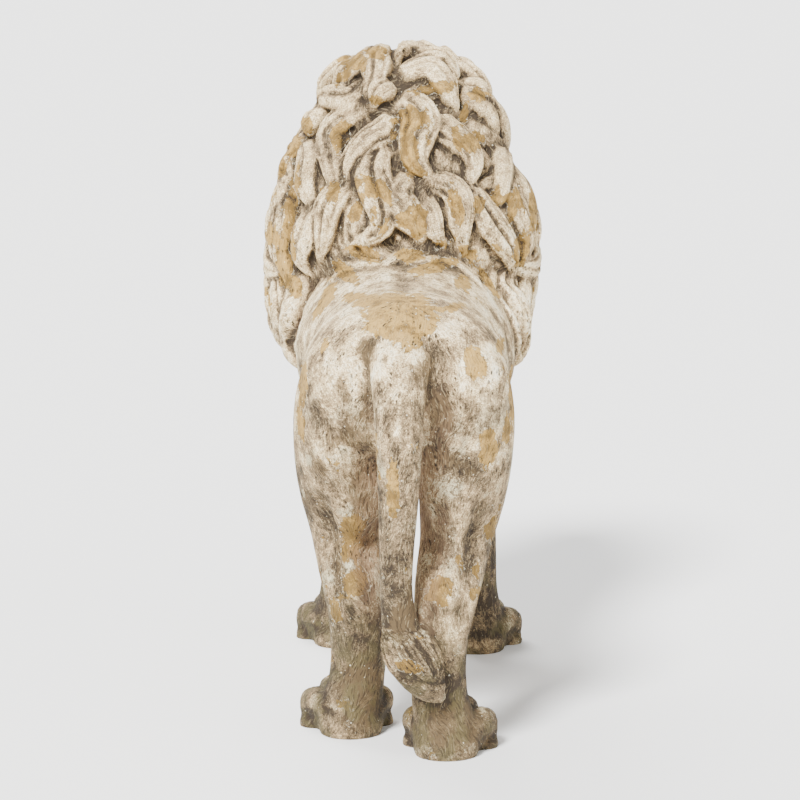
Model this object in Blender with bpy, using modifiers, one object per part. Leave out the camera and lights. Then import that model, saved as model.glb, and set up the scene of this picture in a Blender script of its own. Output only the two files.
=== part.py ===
"""A standing lion, cast in one piece: a garden statue on its own four paws.

The figure is built the way a modeller works in clay. Lofts and ellipsoids block out the masses, a voxel
remesh fuses them, and the head, tail and paws and then the locks of the mane are laid on and fused in the
same way. The frame is in metres: +Z is up, the lion faces -Y, its own left is +X, and the origin lies on
the ground under the middle of the figure.
"""

import math
import random

import bmesh
import bpy
import numpy as np
from mathutils import Matrix, Vector
from mathutils.bvhtree import BVHTree

# The lion's height, from the soles to the top of the mane. Every place and size below is in parts, where
# one part is a 720th of this height: a millimetre at the real size.
HEIGHT = 0.720
PART = HEIGHT / 720

# How finely the clay is fused, in parts, how many times it is smoothed over, and the triangles that the
# finished figure keeps.
MASS_VOXEL = 6
FORM_VOXEL = 4
SKIN_VOXEL = 3.2
MASS_SMOOTHING = 13
FORM_SMOOTHING = 3
SKIN_SMOOTHING = 1
MOST_TRIANGLES = 9400

# Torso sections from the rump to the chest: place along the back, top, bottom and half width.
TORSO = (
    (350, 436, 368, 34),
    (334, 462, 332, 80),
    (300, 478, 308, 103),
    (250, 483, 300, 110),
    (190, 478, 298, 104),
    (130, 473, 290, 100),
    (60, 473, 272, 109),
    (-20, 480, 252, 124),
    (-95, 489, 240, 128),
    (-165, 498, 248, 118),
    (-225, 496, 272, 102),
    (-275, 466, 314, 74),
)

# Above each hock: how far the hollows beside its tendon lie across, the tool's radius and its depth; a depth
# below zero raises the tendon between them.
HOCK_HOLLOWS = ((-21, 16, 5), (0, 10, -3), (21, 16, 5))

# The point of the hock: how far it stands back from the leg's middle, its height and its radii.
HOCK_POINT = (21, 174, (18, 16, 25))

# How high the widest line of the trunk lies, as a share of its height.
TRUNK_BELT = 0.55

# The trunk and hips stand this far to the lion's left of its head; below zero is to its right.
TRUNK_LEAN = -3

# Leg stations from the body down: x (outwards), y, z, half width and half depth.
HIND_LEG = (
    (58, 262, 421, 44, 72),
    (65, 254, 366, 52, 90),
    (66, 242, 314, 52, 84),
    (64, 238, 265, 47, 68),
    (59, 251, 222, 39, 47),
    (53, 284, 192, 37, 38),
    (49, 303, 166, 34, 34),
    (44, 302, 124, 31, 27),
    (44, 293, 68, 31, 28),
    (52, 284, 26, 35, 38),
)
FRONT_LEG = (
    (62, -172, 426, 40, 68),
    (72, -174, 360, 46, 70),
    (76, -158, 298, 43, 59),
    (73, -164, 238, 38, 47),
    (69, -172, 178, 34, 39),
    (69, -176, 122, 33, 36),
    (71, -184, 68, 33, 33),
    (78, -194, 26, 36, 39),
)

# Each foot's leg, its side, and how far its stride and its sway move it from the leg's own stations.
FEET = {
    "left_hind": (HIND_LEG, 1, -60, 5),
    "right_hind": (HIND_LEG, -1, 34, 6),
    "left_front": (FRONT_LEG, 1, -20, -5),
    "right_front": (FRONT_LEG, -1, 10, -9),
}

# A paw turns out a little. Its toes: how far across each is, how far ahead of the ankle its tip reaches, and
# how high its knuckle stands.
PAW_TURN = 7
TOES = ((-36, 46, 33), (-12.5, 76, 39), (12.5, 76, 39), (36, 46, 33))

# Tail stations: x, y, z and radius. The tail hangs straight, and its end curls against the right leg.
TAIL = (
    (0, 292, 424, 34),
    (2, 326, 426, 33),
    (4, 357, 408, 30),
    (4, 375, 378, 26.5),
    (4, 383, 338, 24),
    (5, 382, 280, 21),
    (7, 376, 229, 18.5),
    (7, 369, 188, 17),
    (4, 366, 156, 19),
    (-2, 369, 133, 23),
    (-12, 369, 108, 25),
    (-27, 365, 84, 18),
    (-42, 360, 68, 5),
)

# The strands of the tuft: x, y and z of each root, how high they stand, the length of the first and how much
# shorter each next one is, and their width.
TUFT_ROOTS = (
    (18, 380, 150),
    (10, 388, 152),
    (0, 388, 146),
    (-12, 386, 146),
    (-20, 380, 146),
)
TUFT_LIFT = 3
TUFT_LENGTH = 90
TUFT_SHORTER = 5
TUFT_WIDTH = 15

# The masses under the mane: centre and radii.
MANE_MASSES = (
    ((0, -178, 486), (141, 112, 145)),
    ((1, -222, 594), (109, 100, 110)),
    ((42, -196, 554), (88, 84, 66)),
    ((98, -188, 446), (43, 78, 100)),
    ((-96, -188, 456), (41, 78, 92)),
    ((0, -250, 406), (98, 66, 116)),
)
MANE_CENTRE = (0, -185, 516)

# How far back and how far forward along the body the mane shows from behind, and the height below which its
# locks hang at the sides of the trunk.
MANE_BACK = -60
MANE_SIDE = -185
MANE_HANG = 445

# The middle of the face, which the rings of locks stand round, and the middle of the skull, which the
# features of the head are placed from.
FACE_CENTRE = (0, -330, 612)
HEAD = (0, -276, 630)

# The left ear, from the middle of the skull, and the room that the locks leave round an ear.
EAR = (67, -4, 42)
EAR_CLEARANCE = 36

# The viewpoint that the figure is read from, behind it and above: its place in parts, how far its gaze falls
# for each part that it looks ahead, how many squares of the view show one part from one part away, and the
# view's middle. Places in the view are squares across and down from its top left corner, in a view of 800
# by 800.
EYE = (0, 4280, 1016)
EYE_FALL = 618 / 3845
EYE_REACH = 3845
VIEW_MIDDLE = (403, 400)

# The locks that show from behind, each laid between two ends in that view: its root, across and down, its
# tip, across and down, its width, and how far it bows and swings to the lion's right of the straight line,
# all in squares of the view.
BACK_LOCKS = (
    (358, 50, 330, 84, 24, -6, 0),
    (384, 50, 358, 96, 30, 8, -4),
    (394, 46, 410, 58, 26, 5, 0),
    (414, 58, 458, 80, 36, 9, 0),
    (470, 76, 493, 102, 28, 6, 0),
    (402, 76, 456, 112, 32, 14, 4),
    (392, 86, 374, 112, 30, -4, 0),
    (326, 108, 302, 136, 30, 6, 0),
    (362, 84, 318, 112, 28, 4, 6),
    (370, 106, 338, 206, 30, -20, -6),
    (392, 118, 350, 196, 32, -6, 4),
    (402, 100, 438, 182, 38, -4, 11),
    (440, 116, 468, 188, 36, 4, -5),
    (466, 128, 497, 212, 30, 14, 3),
    (460, 92, 496, 148, 36, 6, 0),
    (502, 120, 512, 172, 26, 4, 0),
    (384, 150, 350, 246, 36, 16, -12),
    (408, 178, 418, 248, 36, -8, -8),
    (424, 180, 464, 254, 30, 14, 6),
    (420, 196, 446, 248, 22, -3, 2),
    (472, 190, 506, 284, 32, 4, -4),
    (354, 182, 322, 264, 30, -8, -3),
    (298, 132, 303, 200, 27, -12, -4),
    (306, 146, 324, 212, 28, -2, 4),
    (276, 176, 269, 266, 34, -10, 0),
    (304, 182, 298, 298, 32, -14, -5),
    (314, 204, 316, 276, 30, -4, 4),
    (276, 256, 286, 356, 36, -9, 0),
    (286, 280, 304, 346, 30, 3, 4),
    (512, 158, 534, 246, 34, 9, 0),
    (508, 176, 512, 268, 30, 4, -5),
    (522, 228, 518, 306, 32, 9, 0),
    (528, 280, 518, 328, 30, 7, 0),
)

# The rings of locks that cover the rest of the mane: how far each stands from the face's axis as seen from
# the middle of the mane, in degrees, how many locks it has, their length and their width.
MANE_RINGS = (
    (128, 17, 112, 45),
    (110, 20, 114, 45),
    (92, 21, 114, 44),
    (74, 21, 106, 42),
    (57, 20, 94, 38),
    (42, 18, 80, 33),
    (29, 16, 58, 27),
)

# How unevenly the rings' locks are set: how far each root strays in degrees, how their size, swing and curl
# range, and how often one swings against its neighbours.
RING_STRAY = 4
LOCK_SIZES = (0.88, 1.14)
LOCK_SWINGS = (0.35, 0.8)
LOCK_CURLS = (0.4, 1.3)
CONTRARY_LOCKS = 0.2

# The locks that hang over each shoulder: how far back and how high each root is, its length, how far it
# swings and how far it curls. The roots are looked for from this far out.
SHOULDER_REACH = 140
SHOULDER_LOCKS = (
    (-112, 454, 104, 0.4, -0.8),
    (-139, 442, 112, -0.4, 0.7),
    (-166, 454, 114, 0.4, -0.9),
    (-193, 440, 108, -0.4, 0.9),
    (-220, 450, 102, 0.4, -0.8),
)
SHOULDER_WIDTH = 44

# The sections along an eyelid.
LID_SECTIONS = 9

# The lowest point that a lock's tip may reach: on the chest, and elsewhere.
CHEST_HEM = 305
SIDE_HEM = 338

# A lock's own make: the sections along it and round it, how high it stands off the skin and how thick it is
# as a share of its width, in the upper and in the under layer, and the strands that it is combed into.
LOCK_STEPS = 15
LOCK_SIDES = 24
LOCK_LIFT = 12
UNDER_LIFT = 2
LOCK_THICKNESS = 0.33
UNDER_THICKNESS = 0.14
LOCK_STRANDS = 3
STRAND_DEPTH = 0.28

# The finish: cream paint weathered down to its tan ground.
PAINT_COLOUR = (0.52, 0.44, 0.33, 1)
PAINT_ROUGHNESS = 0.85


def scaled(point):
    return Vector(point) * PART


def add_clay(clay, more):
    """Adds one lump of clay to another, and uses it up."""
    mesh = bpy.data.meshes.new("lump")
    more.to_mesh(mesh)
    more.free()
    clay.from_mesh(mesh)
    bpy.data.meshes.remove(mesh)


def ellipsoid(clay, centre, radii, tilt=0.0, segments=28):
    """A ball of clay, stretched to its radii and tilted about the X axis."""
    place = Matrix.Translation(scaled(centre)) @ Matrix.Rotation(math.radians(tilt), 4, "X")
    stretch = Matrix.Diagonal((*scaled(radii), 1))
    ball = bmesh.new()
    rings = segments // 2
    bmesh.ops.create_uvsphere(ball, u_segments=segments, v_segments=rings, radius=1, matrix=place @ stretch)
    add_clay(clay, ball)


def loft(clay, rings):
    """A closed skin through rings of points, all of one count, with a flat cap at each end."""
    rows = [[clay.verts.new(point) for point in ring] for ring in rings]
    count = len(rows[0])
    for low, high in zip(rows, rows[1:]):
        for i in range(count):
            j = (i + 1) % count
            clay.faces.new((low[i], low[j], high[j], high[i]))
    clay.faces.new(tuple(reversed(rows[0])))
    clay.faces.new(tuple(rows[-1]))


def limb(clay, stations, sides=20, width_axis=(1, 0, 0)):
    """A loft with an oval section at each station: centre, half width along the width axis and half depth."""
    centres = [scaled(station[:3]) for station in stations]
    rings = []
    for i, station in enumerate(stations):
        along = (centres[min(i + 1, len(centres) - 1)] - centres[max(i - 1, 0)]).normalized()
        across = (Vector(width_axis) - along * along.dot(Vector(width_axis))).normalized()
        deep = along.cross(across)
        wide, thick = station[3] * PART, station[-1] * PART
        turns = [2 * math.pi * k / sides for k in range(sides)]
        rings.append([centres[i] + across * wide * math.cos(a) + deep * thick * math.sin(a) for a in turns])
    loft(clay, rings)


def eased(stations, between=4):
    """Stations on a smooth curve through those given."""
    rows = np.array(stations, float)
    rows = np.vstack((2 * rows[0] - rows[1], rows, 2 * rows[-1] - rows[-2]))
    smooth = []
    for before, start, end, after in zip(rows, rows[1:], rows[2:], rows[3:]):
        for k in range(between):
            t = k / between
            slope = (end - before) * t
            bend = (2 * before - 5 * start + 4 * end - after) * t * t
            turn = (3 * start - before - 3 * end + after) * t ** 3
            smooth.append(tuple(start + 0.5 * (slope + bend + turn)))
    return [*smooth, tuple(rows[-2])]


def torso(clay, sides=28):
    """The trunk: egg-shaped sections across the back."""
    rings = []
    for y, top, bottom, half in TORSO:
        belt = bottom + TRUNK_BELT * (top - bottom)
        ring = []
        for k in range(sides):
            a = 2 * math.pi * k / sides
            reach = (top - belt) if math.sin(a) > 0 else (belt - bottom)
            ring.append(scaled((TRUNK_LEAN + half * math.cos(a), y, belt + reach * math.sin(a))))
        rings.append(ring)
    loft(clay, rings)


def haunches(clay):
    """Muscle over hips, thighs, flanks, shoulders and elbows; hips and thighs follow their leg's stride."""
    for _, side, stride, sway in (FEET["left_hind"], FEET["right_hind"]):
        ellipsoid(clay, (TRUNK_LEAN + side * 61, 290 + 0.2 * stride, 390), (50, 60, 62))
        ellipsoid(clay, (TRUNK_LEAN + side * 70, 230 + 0.35 * stride, 346), (46, 62, 80), tilt=-18)
        ellipsoid(clay, (TRUNK_LEAN + side * 52, 286 + 0.45 * stride, 318), (38, 36, 98), tilt=6)
        ellipsoid(clay, (TRUNK_LEAN + side * 28, 314, 398), (40, 32, 60))
        back, height, radii = HOCK_POINT
        ellipsoid(clay, (side * 50 + sway, 298 + back + stride, height), radii, tilt=12)
    for side in (-1, 1):
        ellipsoid(clay, (side * 78, -172, 388), (42, 66, 94), tilt=12)
        ellipsoid(clay, (side * 80, -136, 306), (32, 38, 38))
        ellipsoid(clay, (side * 54, 176, 316), (34, 60, 36))


def leg_stations(stations, side, stride, sway):
    """The leg's stations on one side, with the foot moved along by stride and across by sway."""
    moved = []
    high, low = stations[0][2], stations[-3][2]
    for x, y, z, wide, thick in stations:
        share = min(1.0, (high - z) / (high - low))
        lean = TRUNK_LEAN * (1 - share) + sway * share
        moved.append((side * x + lean, y + stride * share, z, wide, thick))
    return moved


def paw(clay, foot, side):
    """A broad paw: a heel, a pad and an arc of toes with raised knuckles and blunt claws."""
    x, y = foot[0], foot[1]
    heading = Matrix.Rotation(math.radians(PAW_TURN) * side, 3, "Z")

    def placed(across, ahead, up):
        point = heading @ Vector((across, -ahead, 0))
        return (x + point.x, y + point.y, up)

    ellipsoid(clay, placed(0, -1, 12), (36, 38, 30))
    ellipsoid(clay, placed(0, 26, 18), (43, 42, 32))
    for across, reach, knuckle in TOES:
        toe = (
            (*placed(across * 0.6, reach - 56, knuckle - 6), 13, 15),
            (*placed(across * 0.9, reach - 30, knuckle - 1), 15, 16),
            (*placed(across, reach - 12, knuckle - 6), 16, 17),
            (*placed(across, reach, 17), 14.5, 18),
            (*placed(across, reach + 7, 6), 11, 13),
        )
        limb(clay, toe, sides=14)
        ellipsoid(clay, placed(across, reach - 8, 3), (16, 19, 14), segments=16)
        ellipsoid(clay, placed(across * 0.92, reach - 24, knuckle + 2), (14, 15, 12), segments=16)
        claw = (
            (*placed(across, reach + 4, 19), 4.5, 5),
            (*placed(across, reach + 13, 14), 4, 4.5),
            (*placed(across, reach + 19, 5), 2.5, 3),
        )
        limb(clay, claw, sides=10)


def on_head(across, back, up):
    """A place on the head, from the middle of the skull."""
    return (HEAD[0] + across, HEAD[1] + back, HEAD[2] + up)


def head(clay):
    """Skull, brow, cheeks, muzzle, jaw and ears."""
    ellipsoid(clay, on_head(0, 0, 0), (76, 78, 66))
    ellipsoid(clay, on_head(0, -38, 34), (50, 36, 26))
    bridge = (
        (*on_head(0, -38, 16), 30, 24),
        (*on_head(0, -70, 9), 23, 20),
        (*on_head(0, -98, -3), 22, 18),
        (*on_head(0, -115, -12), 24, 14),
    )
    limb(clay, bridge)
    ellipsoid(clay, on_head(0, -74, -32), (50, 47, 40))
    ellipsoid(clay, on_head(0, -86, -70), (30, 33, 25))
    ellipsoid(clay, on_head(0, -58, -66), (42, 50, 26))
    ellipsoid(clay, on_head(0, -118, -14), (22, 11, 11))
    for side in (-1, 1):
        ellipsoid(clay, on_head(side * 25, -98, -36), (27, 28, 25))
        ellipsoid(clay, on_head(side * 58, -22, -22), (36, 46, 44))
        ellipsoid(clay, on_head(side * 33, -61, 35), (25, 20, 11), tilt=20)
        ellipsoid(clay, on_head(side * 44, -38, -56), (26, 44, 30))
        ellipsoid(clay, on_head(side * EAR[0], *EAR[1:]), (23, 13, 25), tilt=-14)


def eyes(clay):
    """Eyeballs in their sockets, each between two lids that meet at its corners."""
    for side in (-1, 1):
        ellipsoid(clay, on_head(side * 34, -70, 19), (12, 12, 11), segments=20)
        for rise, radius in ((9.5, 3.4), (-6.5, 2.6)):
            lid = []
            for k in range(LID_SECTIONS):
                a = math.pi * k / (LID_SECTIONS - 1)
                bulge = math.sin(a)
                place = on_head(side * (34 - 15 * math.cos(a)), -75 - 8.5 * bulge, 17.5 + rise * bulge)
                lid.append((*place, radius * (0.5 + 0.5 * bulge)))
            limb(clay, lid, sides=10, width_axis=(0, 0, 1))


def face_strokes():
    """The tool strokes that carve the face: each a path, the tool's radius and its depth."""
    strokes = [
        ([on_head(0, -80, 40), on_head(0, -60, 68)], 9, 4),
        ([on_head(0, -126, -26), on_head(0, -122, -48)], 4.5, 4.5),
    ]
    for side in (-1, 1):
        mouth = ((0, -122, -51), (15, -118, -57), (32, -104, -62), (46, -80, -58), (55, -54, -44))
        tear = ((24, -88, 12), (27, -92, -4), (38, -88, -18))
        strokes += [
            ([on_head(side * 34, -78, 21)], 20, 9),
            ([on_head(side * x, y, z) for x, y, z in tear], 8, 4),
            ([on_head(side * x, y, z) for x, y, z in mouth], 5.5, 7),
            ([on_head(side * 11, -126, -14)], 5.5, 5),
            ([on_head(side * 21, -118, -10), on_head(side * 24, -106, 0)], 6, 3),
            ([on_head(side * EAR[0], EAR[1] - 14, EAR[2] + up) for up in (0, 10)], 15, 9),
        ]
    return strokes


def body_strokes():
    """The strokes that part the muscles: flank, shoulder, ribs, spine and the hollows by the tail."""
    strokes = [([(0, 270, 480), (0, 190, 480), (0, 90, 474), (0, -20, 480)], 18, 2.5)]
    for side in (-1, 1):
        flank = ((100, 150, 440), (98, 168, 380), (84, 176, 330), (62, 176, 300))
        shoulder = ((96, -78, 462), (116, -88, 390), (104, -104, 320), (84, -112, 280))
        strokes += [
            ([(side * x, y, z) for x, y, z in flank], 24, 6),
            ([(side * x, y, z) for x, y, z in shoulder], 22, 6),
            ([(side * 36, 352, 440), (side * 40, 356, 400), (side * 38, 356, 370)], 20, 4),
        ]
        for rib in range(3):
            y = -30 + 48 * rib
            path = ((106, y, 424), (116, y - 8, 380), (106, y - 24, 320))
            strokes.append(([(side * x, back, up) for x, back, up in path], 20, 1.6))
    return strokes


def hock_strokes():
    """The strokes that raise the tendon above each hock and hollow the leg at both sides of it."""
    strokes = []
    for leg in (FEET["left_hind"], FEET["right_hind"]):
        stations = leg_stations(*leg)[3:7]
        for across, radius, depth in HOCK_HOLLOWS:
            path = [(x + across, y + deep, z) for x, y, z, _, deep in stations]
            strokes.append((path, radius, depth))
    return strokes


def mesh_of(clay, name):
    """Turns clay into an object in the scene."""
    bmesh.ops.recalc_face_normals(clay, faces=clay.faces)
    mesh = bpy.data.meshes.new(name)
    clay.to_mesh(mesh)
    clay.free()
    obj = bpy.data.objects.new(name, mesh)
    bpy.context.scene.collection.objects.link(obj)
    return obj


def evaluated_mesh(obj):
    return bpy.data.meshes.new_from_object(obj.evaluated_get(bpy.context.evaluated_depsgraph_get()))


def fused(obj, voxel, rounds):
    """Fuses the object's clay to one skin and smooths it."""
    remesh = obj.modifiers.new("Fuse", "REMESH")
    remesh.mode = "VOXEL"
    remesh.voxel_size = voxel * PART
    smooth = obj.modifiers.new("Smooth", "SMOOTH")
    smooth.factor = 0.5
    smooth.iterations = rounds
    mesh = evaluated_mesh(obj)
    obj.modifiers.clear()
    obj.data = mesh
    return obj


def thinned(obj, triangles):
    """Thins the skin out to a number of triangles, most of them left where it bends most."""
    count = sum(len(face.vertices) - 2 for face in obj.data.polygons)
    thin = obj.modifiers.new("Thin out", "DECIMATE")
    thin.ratio = min(1.0, triangles / count)
    mesh = evaluated_mesh(obj)
    obj.modifiers.clear()
    obj.data = mesh
    return obj


def skin_of(obj):
    """A search tree over the object's faces."""
    clay = bmesh.new()
    clay.from_mesh(obj.data)
    tree = BVHTree.FromBMesh(clay)
    clay.free()
    return tree


def press(obj, strokes):
    """Draws a round tool over the skin along each stroke: a depth above zero cuts in, one below builds up."""
    skin = skin_of(obj)
    count = len(obj.data.vertices)
    places = np.empty(count * 3, np.float32)
    obj.data.vertices.foreach_get("co", places)
    places = places.reshape(-1, 3)
    normals = np.empty(count * 3, np.float32)
    obj.data.vertices.foreach_get("normal", normals)
    normals = normals.reshape(-1, 3)
    for path, radius, depth in strokes:
        points = [np.array(skin.find_nearest(scaled(point))[0]) for point in path]
        near = np.full(count, np.inf)
        for start, end in zip(points, points[1:] or points):
            line = end - start
            share = np.clip((places - start) @ line / max(line @ line, 1e-12), 0, 1)
            near = np.minimum(near, np.linalg.norm(places - start - share[:, None] * line, axis=1))
        touch = np.clip(1 - (near / (radius * PART)) ** 2, 0, 1) ** 2
        places = places - normals * (touch * depth * PART)[:, None].astype(np.float32)
    obj.data.vertices.foreach_set("co", places.ravel())
    obj.data.update()


def lock_breadth(t):
    """A lock's breadth along its length: a narrow root, a full body, and a tip drawn out to a point."""
    return math.sin(math.pi * (0.08 + 0.92 * t) ** 0.75) ** 0.8 if t < 1 else 0.0


def lock_height(t):
    """How far a lock's ridge stands off along its length: low at the root, high until near the tip."""
    return 0.25 + 0.75 * math.sin(0.5 * math.pi * min(1.0, t / 0.6)) - 0.45 * max(0.0, t - 0.75) / 0.25


def lay_lock(clay, points, normals, width, lift=LOCK_LIFT, thickness=LOCK_THICKNESS):
    """A lock of hair through points on the skin: a ribbed ridge whose sides run down into the skin."""
    last = len(points) - 1
    rings = []
    for i, (point, normal) in enumerate(zip(points, normals)):
        t = i / last
        along = (points[min(i + 1, last)] - points[max(i - 1, 0)]).normalized()
        across = along.cross(normal).normalized()
        out = across.cross(along)
        half = (0.5 * width * lock_breadth(t) + 1.2) * PART
        shoulder = lift * lock_height(t) * PART
        crown = 2 * thickness * half
        ring = []
        for k in range(LOCK_SIDES):
            a = 2 * math.pi * k / LOCK_SIDES
            if math.sin(a) >= 0:
                rib = 1 - STRAND_DEPTH * (0.5 + 0.5 * math.cos(math.pi * LOCK_STRANDS * math.cos(a)))
                up = shoulder + crown * math.sin(a) ** 0.8 * rib
            else:
                up = shoulder + (shoulder + 4 * PART) * max(-1.0, 2.5 * math.sin(a))
            ring.append(point + out * up + across * half * math.cos(a))
        rings.append(ring)
    loft(clay, rings)


def walked_lock(clay, skin, root, heading, length, width, wave, curl, *make):
    """A lock that sets off along its heading, swings by wave and turns in by curl, both in radians."""
    point, normal, _, _ = skin.find_nearest(root)
    direction = Vector(heading)
    points, normals = [point], [normal]
    for i in range(LOCK_STEPS):
        t = i / LOCK_STEPS
        direction = (direction - normal * direction.dot(normal)).normalized()
        turn = wave * math.cos(1.6 * math.pi * t) + curl * t * t
        forward = Matrix.Rotation(turn, 3, normal) @ direction
        point, normal, _, _ = skin.find_nearest(point + forward * length * PART / LOCK_STEPS)
        points.append(point)
        normals.append(normal)
    lay_lock(clay, points, normals, width, *make)


def view_up():
    """The direction that is up in the view."""
    return Vector((0, -EYE_FALL, 1)).normalized()


def looked_at(across, down):
    """The direction from the eye towards a place in the view."""
    ahead = Vector((0, -1, -EYE_FALL)).normalized()
    right = Vector((-1, 0, 0))
    return ahead * EYE_REACH + right * (across - VIEW_MIDDLE[0]) + view_up() * (VIEW_MIDDLE[1] - down)


def behind(skin, across, down):
    """The mane's skin at a place in the view; where none shows there, the nearest skin at its side."""
    eye = scaled(EYE)
    gaze = looked_at(across, down)
    place, normal, _, _ = skin.ray_cast(eye, gaze)
    if place is None or place.z < MANE_HANG * PART or not MANE_SIDE * PART < place.y < MANE_BACK * PART:
        place, normal, _, _ = skin.find_nearest(eye + gaze * ((MANE_SIDE * PART - eye.y) / gaze.y))
    return place, normal


def drawn_lock(clay, skin, row):
    """A lock laid between two ends in the view."""
    across0, down0, across1, down1, width, bow, swing = row
    run, fall = across1 - across0, down1 - down0
    length = math.hypot(run, fall)
    points, normals = [], []
    for i in range(LOCK_STEPS + 1):
        t = i / LOCK_STEPS
        aside = bow * math.sin(math.pi * t) + swing * math.sin(2 * math.pi * t)
        across = across0 + run * t + fall / length * aside
        down = down0 + fall * t - run / length * aside
        place, normal = behind(skin, across, down)
        points.append(place)
        normals.append(normal)
    lay_lock(clay, points, normals, width * (EYE[1] - MANE_CENTRE[1]) / EYE_REACH)


def ring_place(skin, away, around):
    """Where a ray from the middle of the mane leaves it: away from the face's axis, and around that axis."""
    centre = scaled(MANE_CENTRE)
    axis = (scaled(FACE_CENTRE) - centre).normalized()
    side = Vector((1, 0, 0))
    up = side.cross(axis)
    a, b = math.radians(away), math.radians(around)
    spoke = side * math.sin(b) + up * math.cos(b)
    place, normal, _, _ = skin.ray_cast(centre, axis * math.cos(a) + spoke * math.sin(a))
    return place, normal, spoke * math.cos(a) - axis * math.sin(a)


def mane(clay, skin):
    """An under layer of low locks all over the mane, the upper locks round face, chest and shoulders, and the
    drawn locks behind."""
    chance = random.Random(11)
    ears = [on_head(side * EAR[0], *EAR[1:]) for side in (-1, 1)]
    for row, (away, count, length, width) in enumerate(MANE_RINGS):
        for k in range(2 * count):
            upper = k % 2 == 0
            around = 180 * (k + row % 2) / count + chance.uniform(-RING_STRAY, RING_STRAY)
            place, normal, onward = ring_place(skin, away + chance.uniform(-RING_STRAY, RING_STRAY), around)
            swing = (1 if row % 2 else -1) * (1 if place.x > 0 else -1)
            if chance.random() < CONTRARY_LOCKS:
                swing = -swing
            size = chance.uniform(*LOCK_SIZES)
            wave = swing * chance.uniform(*LOCK_SWINGS)
            curl = -swing * chance.uniform(*LOCK_CURLS)
            seen_from_behind = normal.y > 0.12 and place.z > SIDE_HEM * PART
            hem = CHEST_HEM if normal.y < -0.5 else SIDE_HEM
            too_low = place.z < (hem + 0.8 * length * size) * PART
            over_ear = min((place - scaled(ear)).length for ear in ears) < EAR_CLEARANCE * PART
            if too_low or over_ear or (upper and seen_from_behind):
                continue
            heading = onward * 0.7 + Vector((0, 0, -0.8))
            make = (LOCK_LIFT, LOCK_THICKNESS) if upper else (UNDER_LIFT, UNDER_THICKNESS)
            walked_lock(clay, skin, place, heading, length * size, width * size, wave, curl, *make)
    for side in (-1, 1):
        for back, height, length, swing, curl in SHOULDER_LOCKS:
            root = scaled((side * SHOULDER_REACH, back, height))
            heading = (0, 0.25, -1)
            walked_lock(clay, skin, root, heading, length, SHOULDER_WIDTH, side * swing, side * curl)
    for row in BACK_LOCKS:
        drawn_lock(clay, skin, row)


def tuft(clay, skin):
    """The tail's end: strands that sweep down to the right over the leg."""
    for k, root in enumerate(TUFT_ROOTS):
        place, _, _, _ = skin.find_nearest(scaled(root))
        length = TUFT_LENGTH - TUFT_SHORTER * k
        walked_lock(clay, skin, place, (-0.5, 0, -0.85), length, TUFT_WIDTH, -0.3 + 0.12 * k, 0.3, TUFT_LIFT)


def cut_soles(obj):
    """Cuts the paws flat on the ground, so that each has one level sole."""
    clay = bmesh.new()
    clay.from_mesh(obj.data)
    whole = [*clay.verts, *clay.edges, *clay.faces]
    cut = bmesh.ops.bisect_plane(clay, geom=whole, plane_co=(0, 0, 0), plane_no=(0, 0, -1), clear_outer=True)
    edges = [e for e in cut["geom_cut"] if isinstance(e, bmesh.types.BMEdge)]
    bmesh.ops.holes_fill(clay, edges=edges, sides=0)
    bmesh.ops.recalc_face_normals(clay, faces=clay.faces)
    clay.to_mesh(obj.data)
    clay.free()


def centred(obj):
    """Moves the figure so that the origin is on the ground under the middle of its box."""
    xs = [vertex.co.x for vertex in obj.data.vertices]
    ys = [vertex.co.y for vertex in obj.data.vertices]
    middle = Vector(((min(xs) + max(xs)) / 2, (min(ys) + max(ys)) / 2, 0))
    obj.data.transform(Matrix.Translation(-middle))


def weathered_paint():
    """Cream paint worn down to a tan ground, matt all over."""
    material = bpy.data.materials.new("weathered_paint")
    material.use_nodes = True
    surface = material.node_tree.nodes["Principled BSDF"]
    surface.inputs["Base Color"].default_value = PAINT_COLOUR
    surface.inputs["Roughness"].default_value = PAINT_ROUGHNESS
    surface.inputs["Metallic"].default_value = 0
    return material


def main():
    for obj in list(bpy.data.objects):
        bpy.data.objects.remove(obj)

    masses = bmesh.new()
    torso(masses)
    haunches(masses)
    for leg in FEET.values():
        limb(masses, eased(leg_stations(*leg)))
    for centre, radii in MANE_MASSES:
        ellipsoid(masses, centre, radii)
    body = fused(mesh_of(masses, "masses"), MASS_VOXEL, MASS_SMOOTHING)
    press(body, body_strokes() + hock_strokes())

    forms = bmesh.new()
    head(forms)
    limb(forms, eased(TAIL))
    for leg in FEET.values():
        paw(forms, leg_stations(*leg)[-1], leg[1])
    forms.from_mesh(body.data)
    bpy.data.objects.remove(body)
    body = fused(mesh_of(forms, "forms"), FORM_VOXEL, FORM_SMOOTHING)
    press(body, face_strokes())

    skin = skin_of(body)
    locks = bmesh.new()
    eyes(locks)
    mane(locks, skin)
    tuft(locks, skin)
    locks.from_mesh(body.data)
    bpy.data.objects.remove(body)
    lion = fused(mesh_of(locks, "lion"), SKIN_VOXEL, SKIN_SMOOTHING)
    thinned(lion, MOST_TRIANGLES)
    cut_soles(lion)
    centred(lion)
    lion.data.materials.append(weathered_paint())
    statue = bpy.data.collections.new("lion_statue")
    bpy.context.scene.collection.children.link(statue)
    statue.objects.link(lion)
    bpy.context.scene.collection.objects.unlink(lion)


main()
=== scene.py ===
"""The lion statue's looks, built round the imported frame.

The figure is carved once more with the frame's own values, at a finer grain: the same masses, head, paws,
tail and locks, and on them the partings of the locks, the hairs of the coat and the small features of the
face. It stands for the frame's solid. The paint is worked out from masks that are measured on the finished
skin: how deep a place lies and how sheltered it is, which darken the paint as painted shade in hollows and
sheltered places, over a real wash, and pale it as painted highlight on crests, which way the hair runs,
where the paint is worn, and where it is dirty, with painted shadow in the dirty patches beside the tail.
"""

import math
import random

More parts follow.
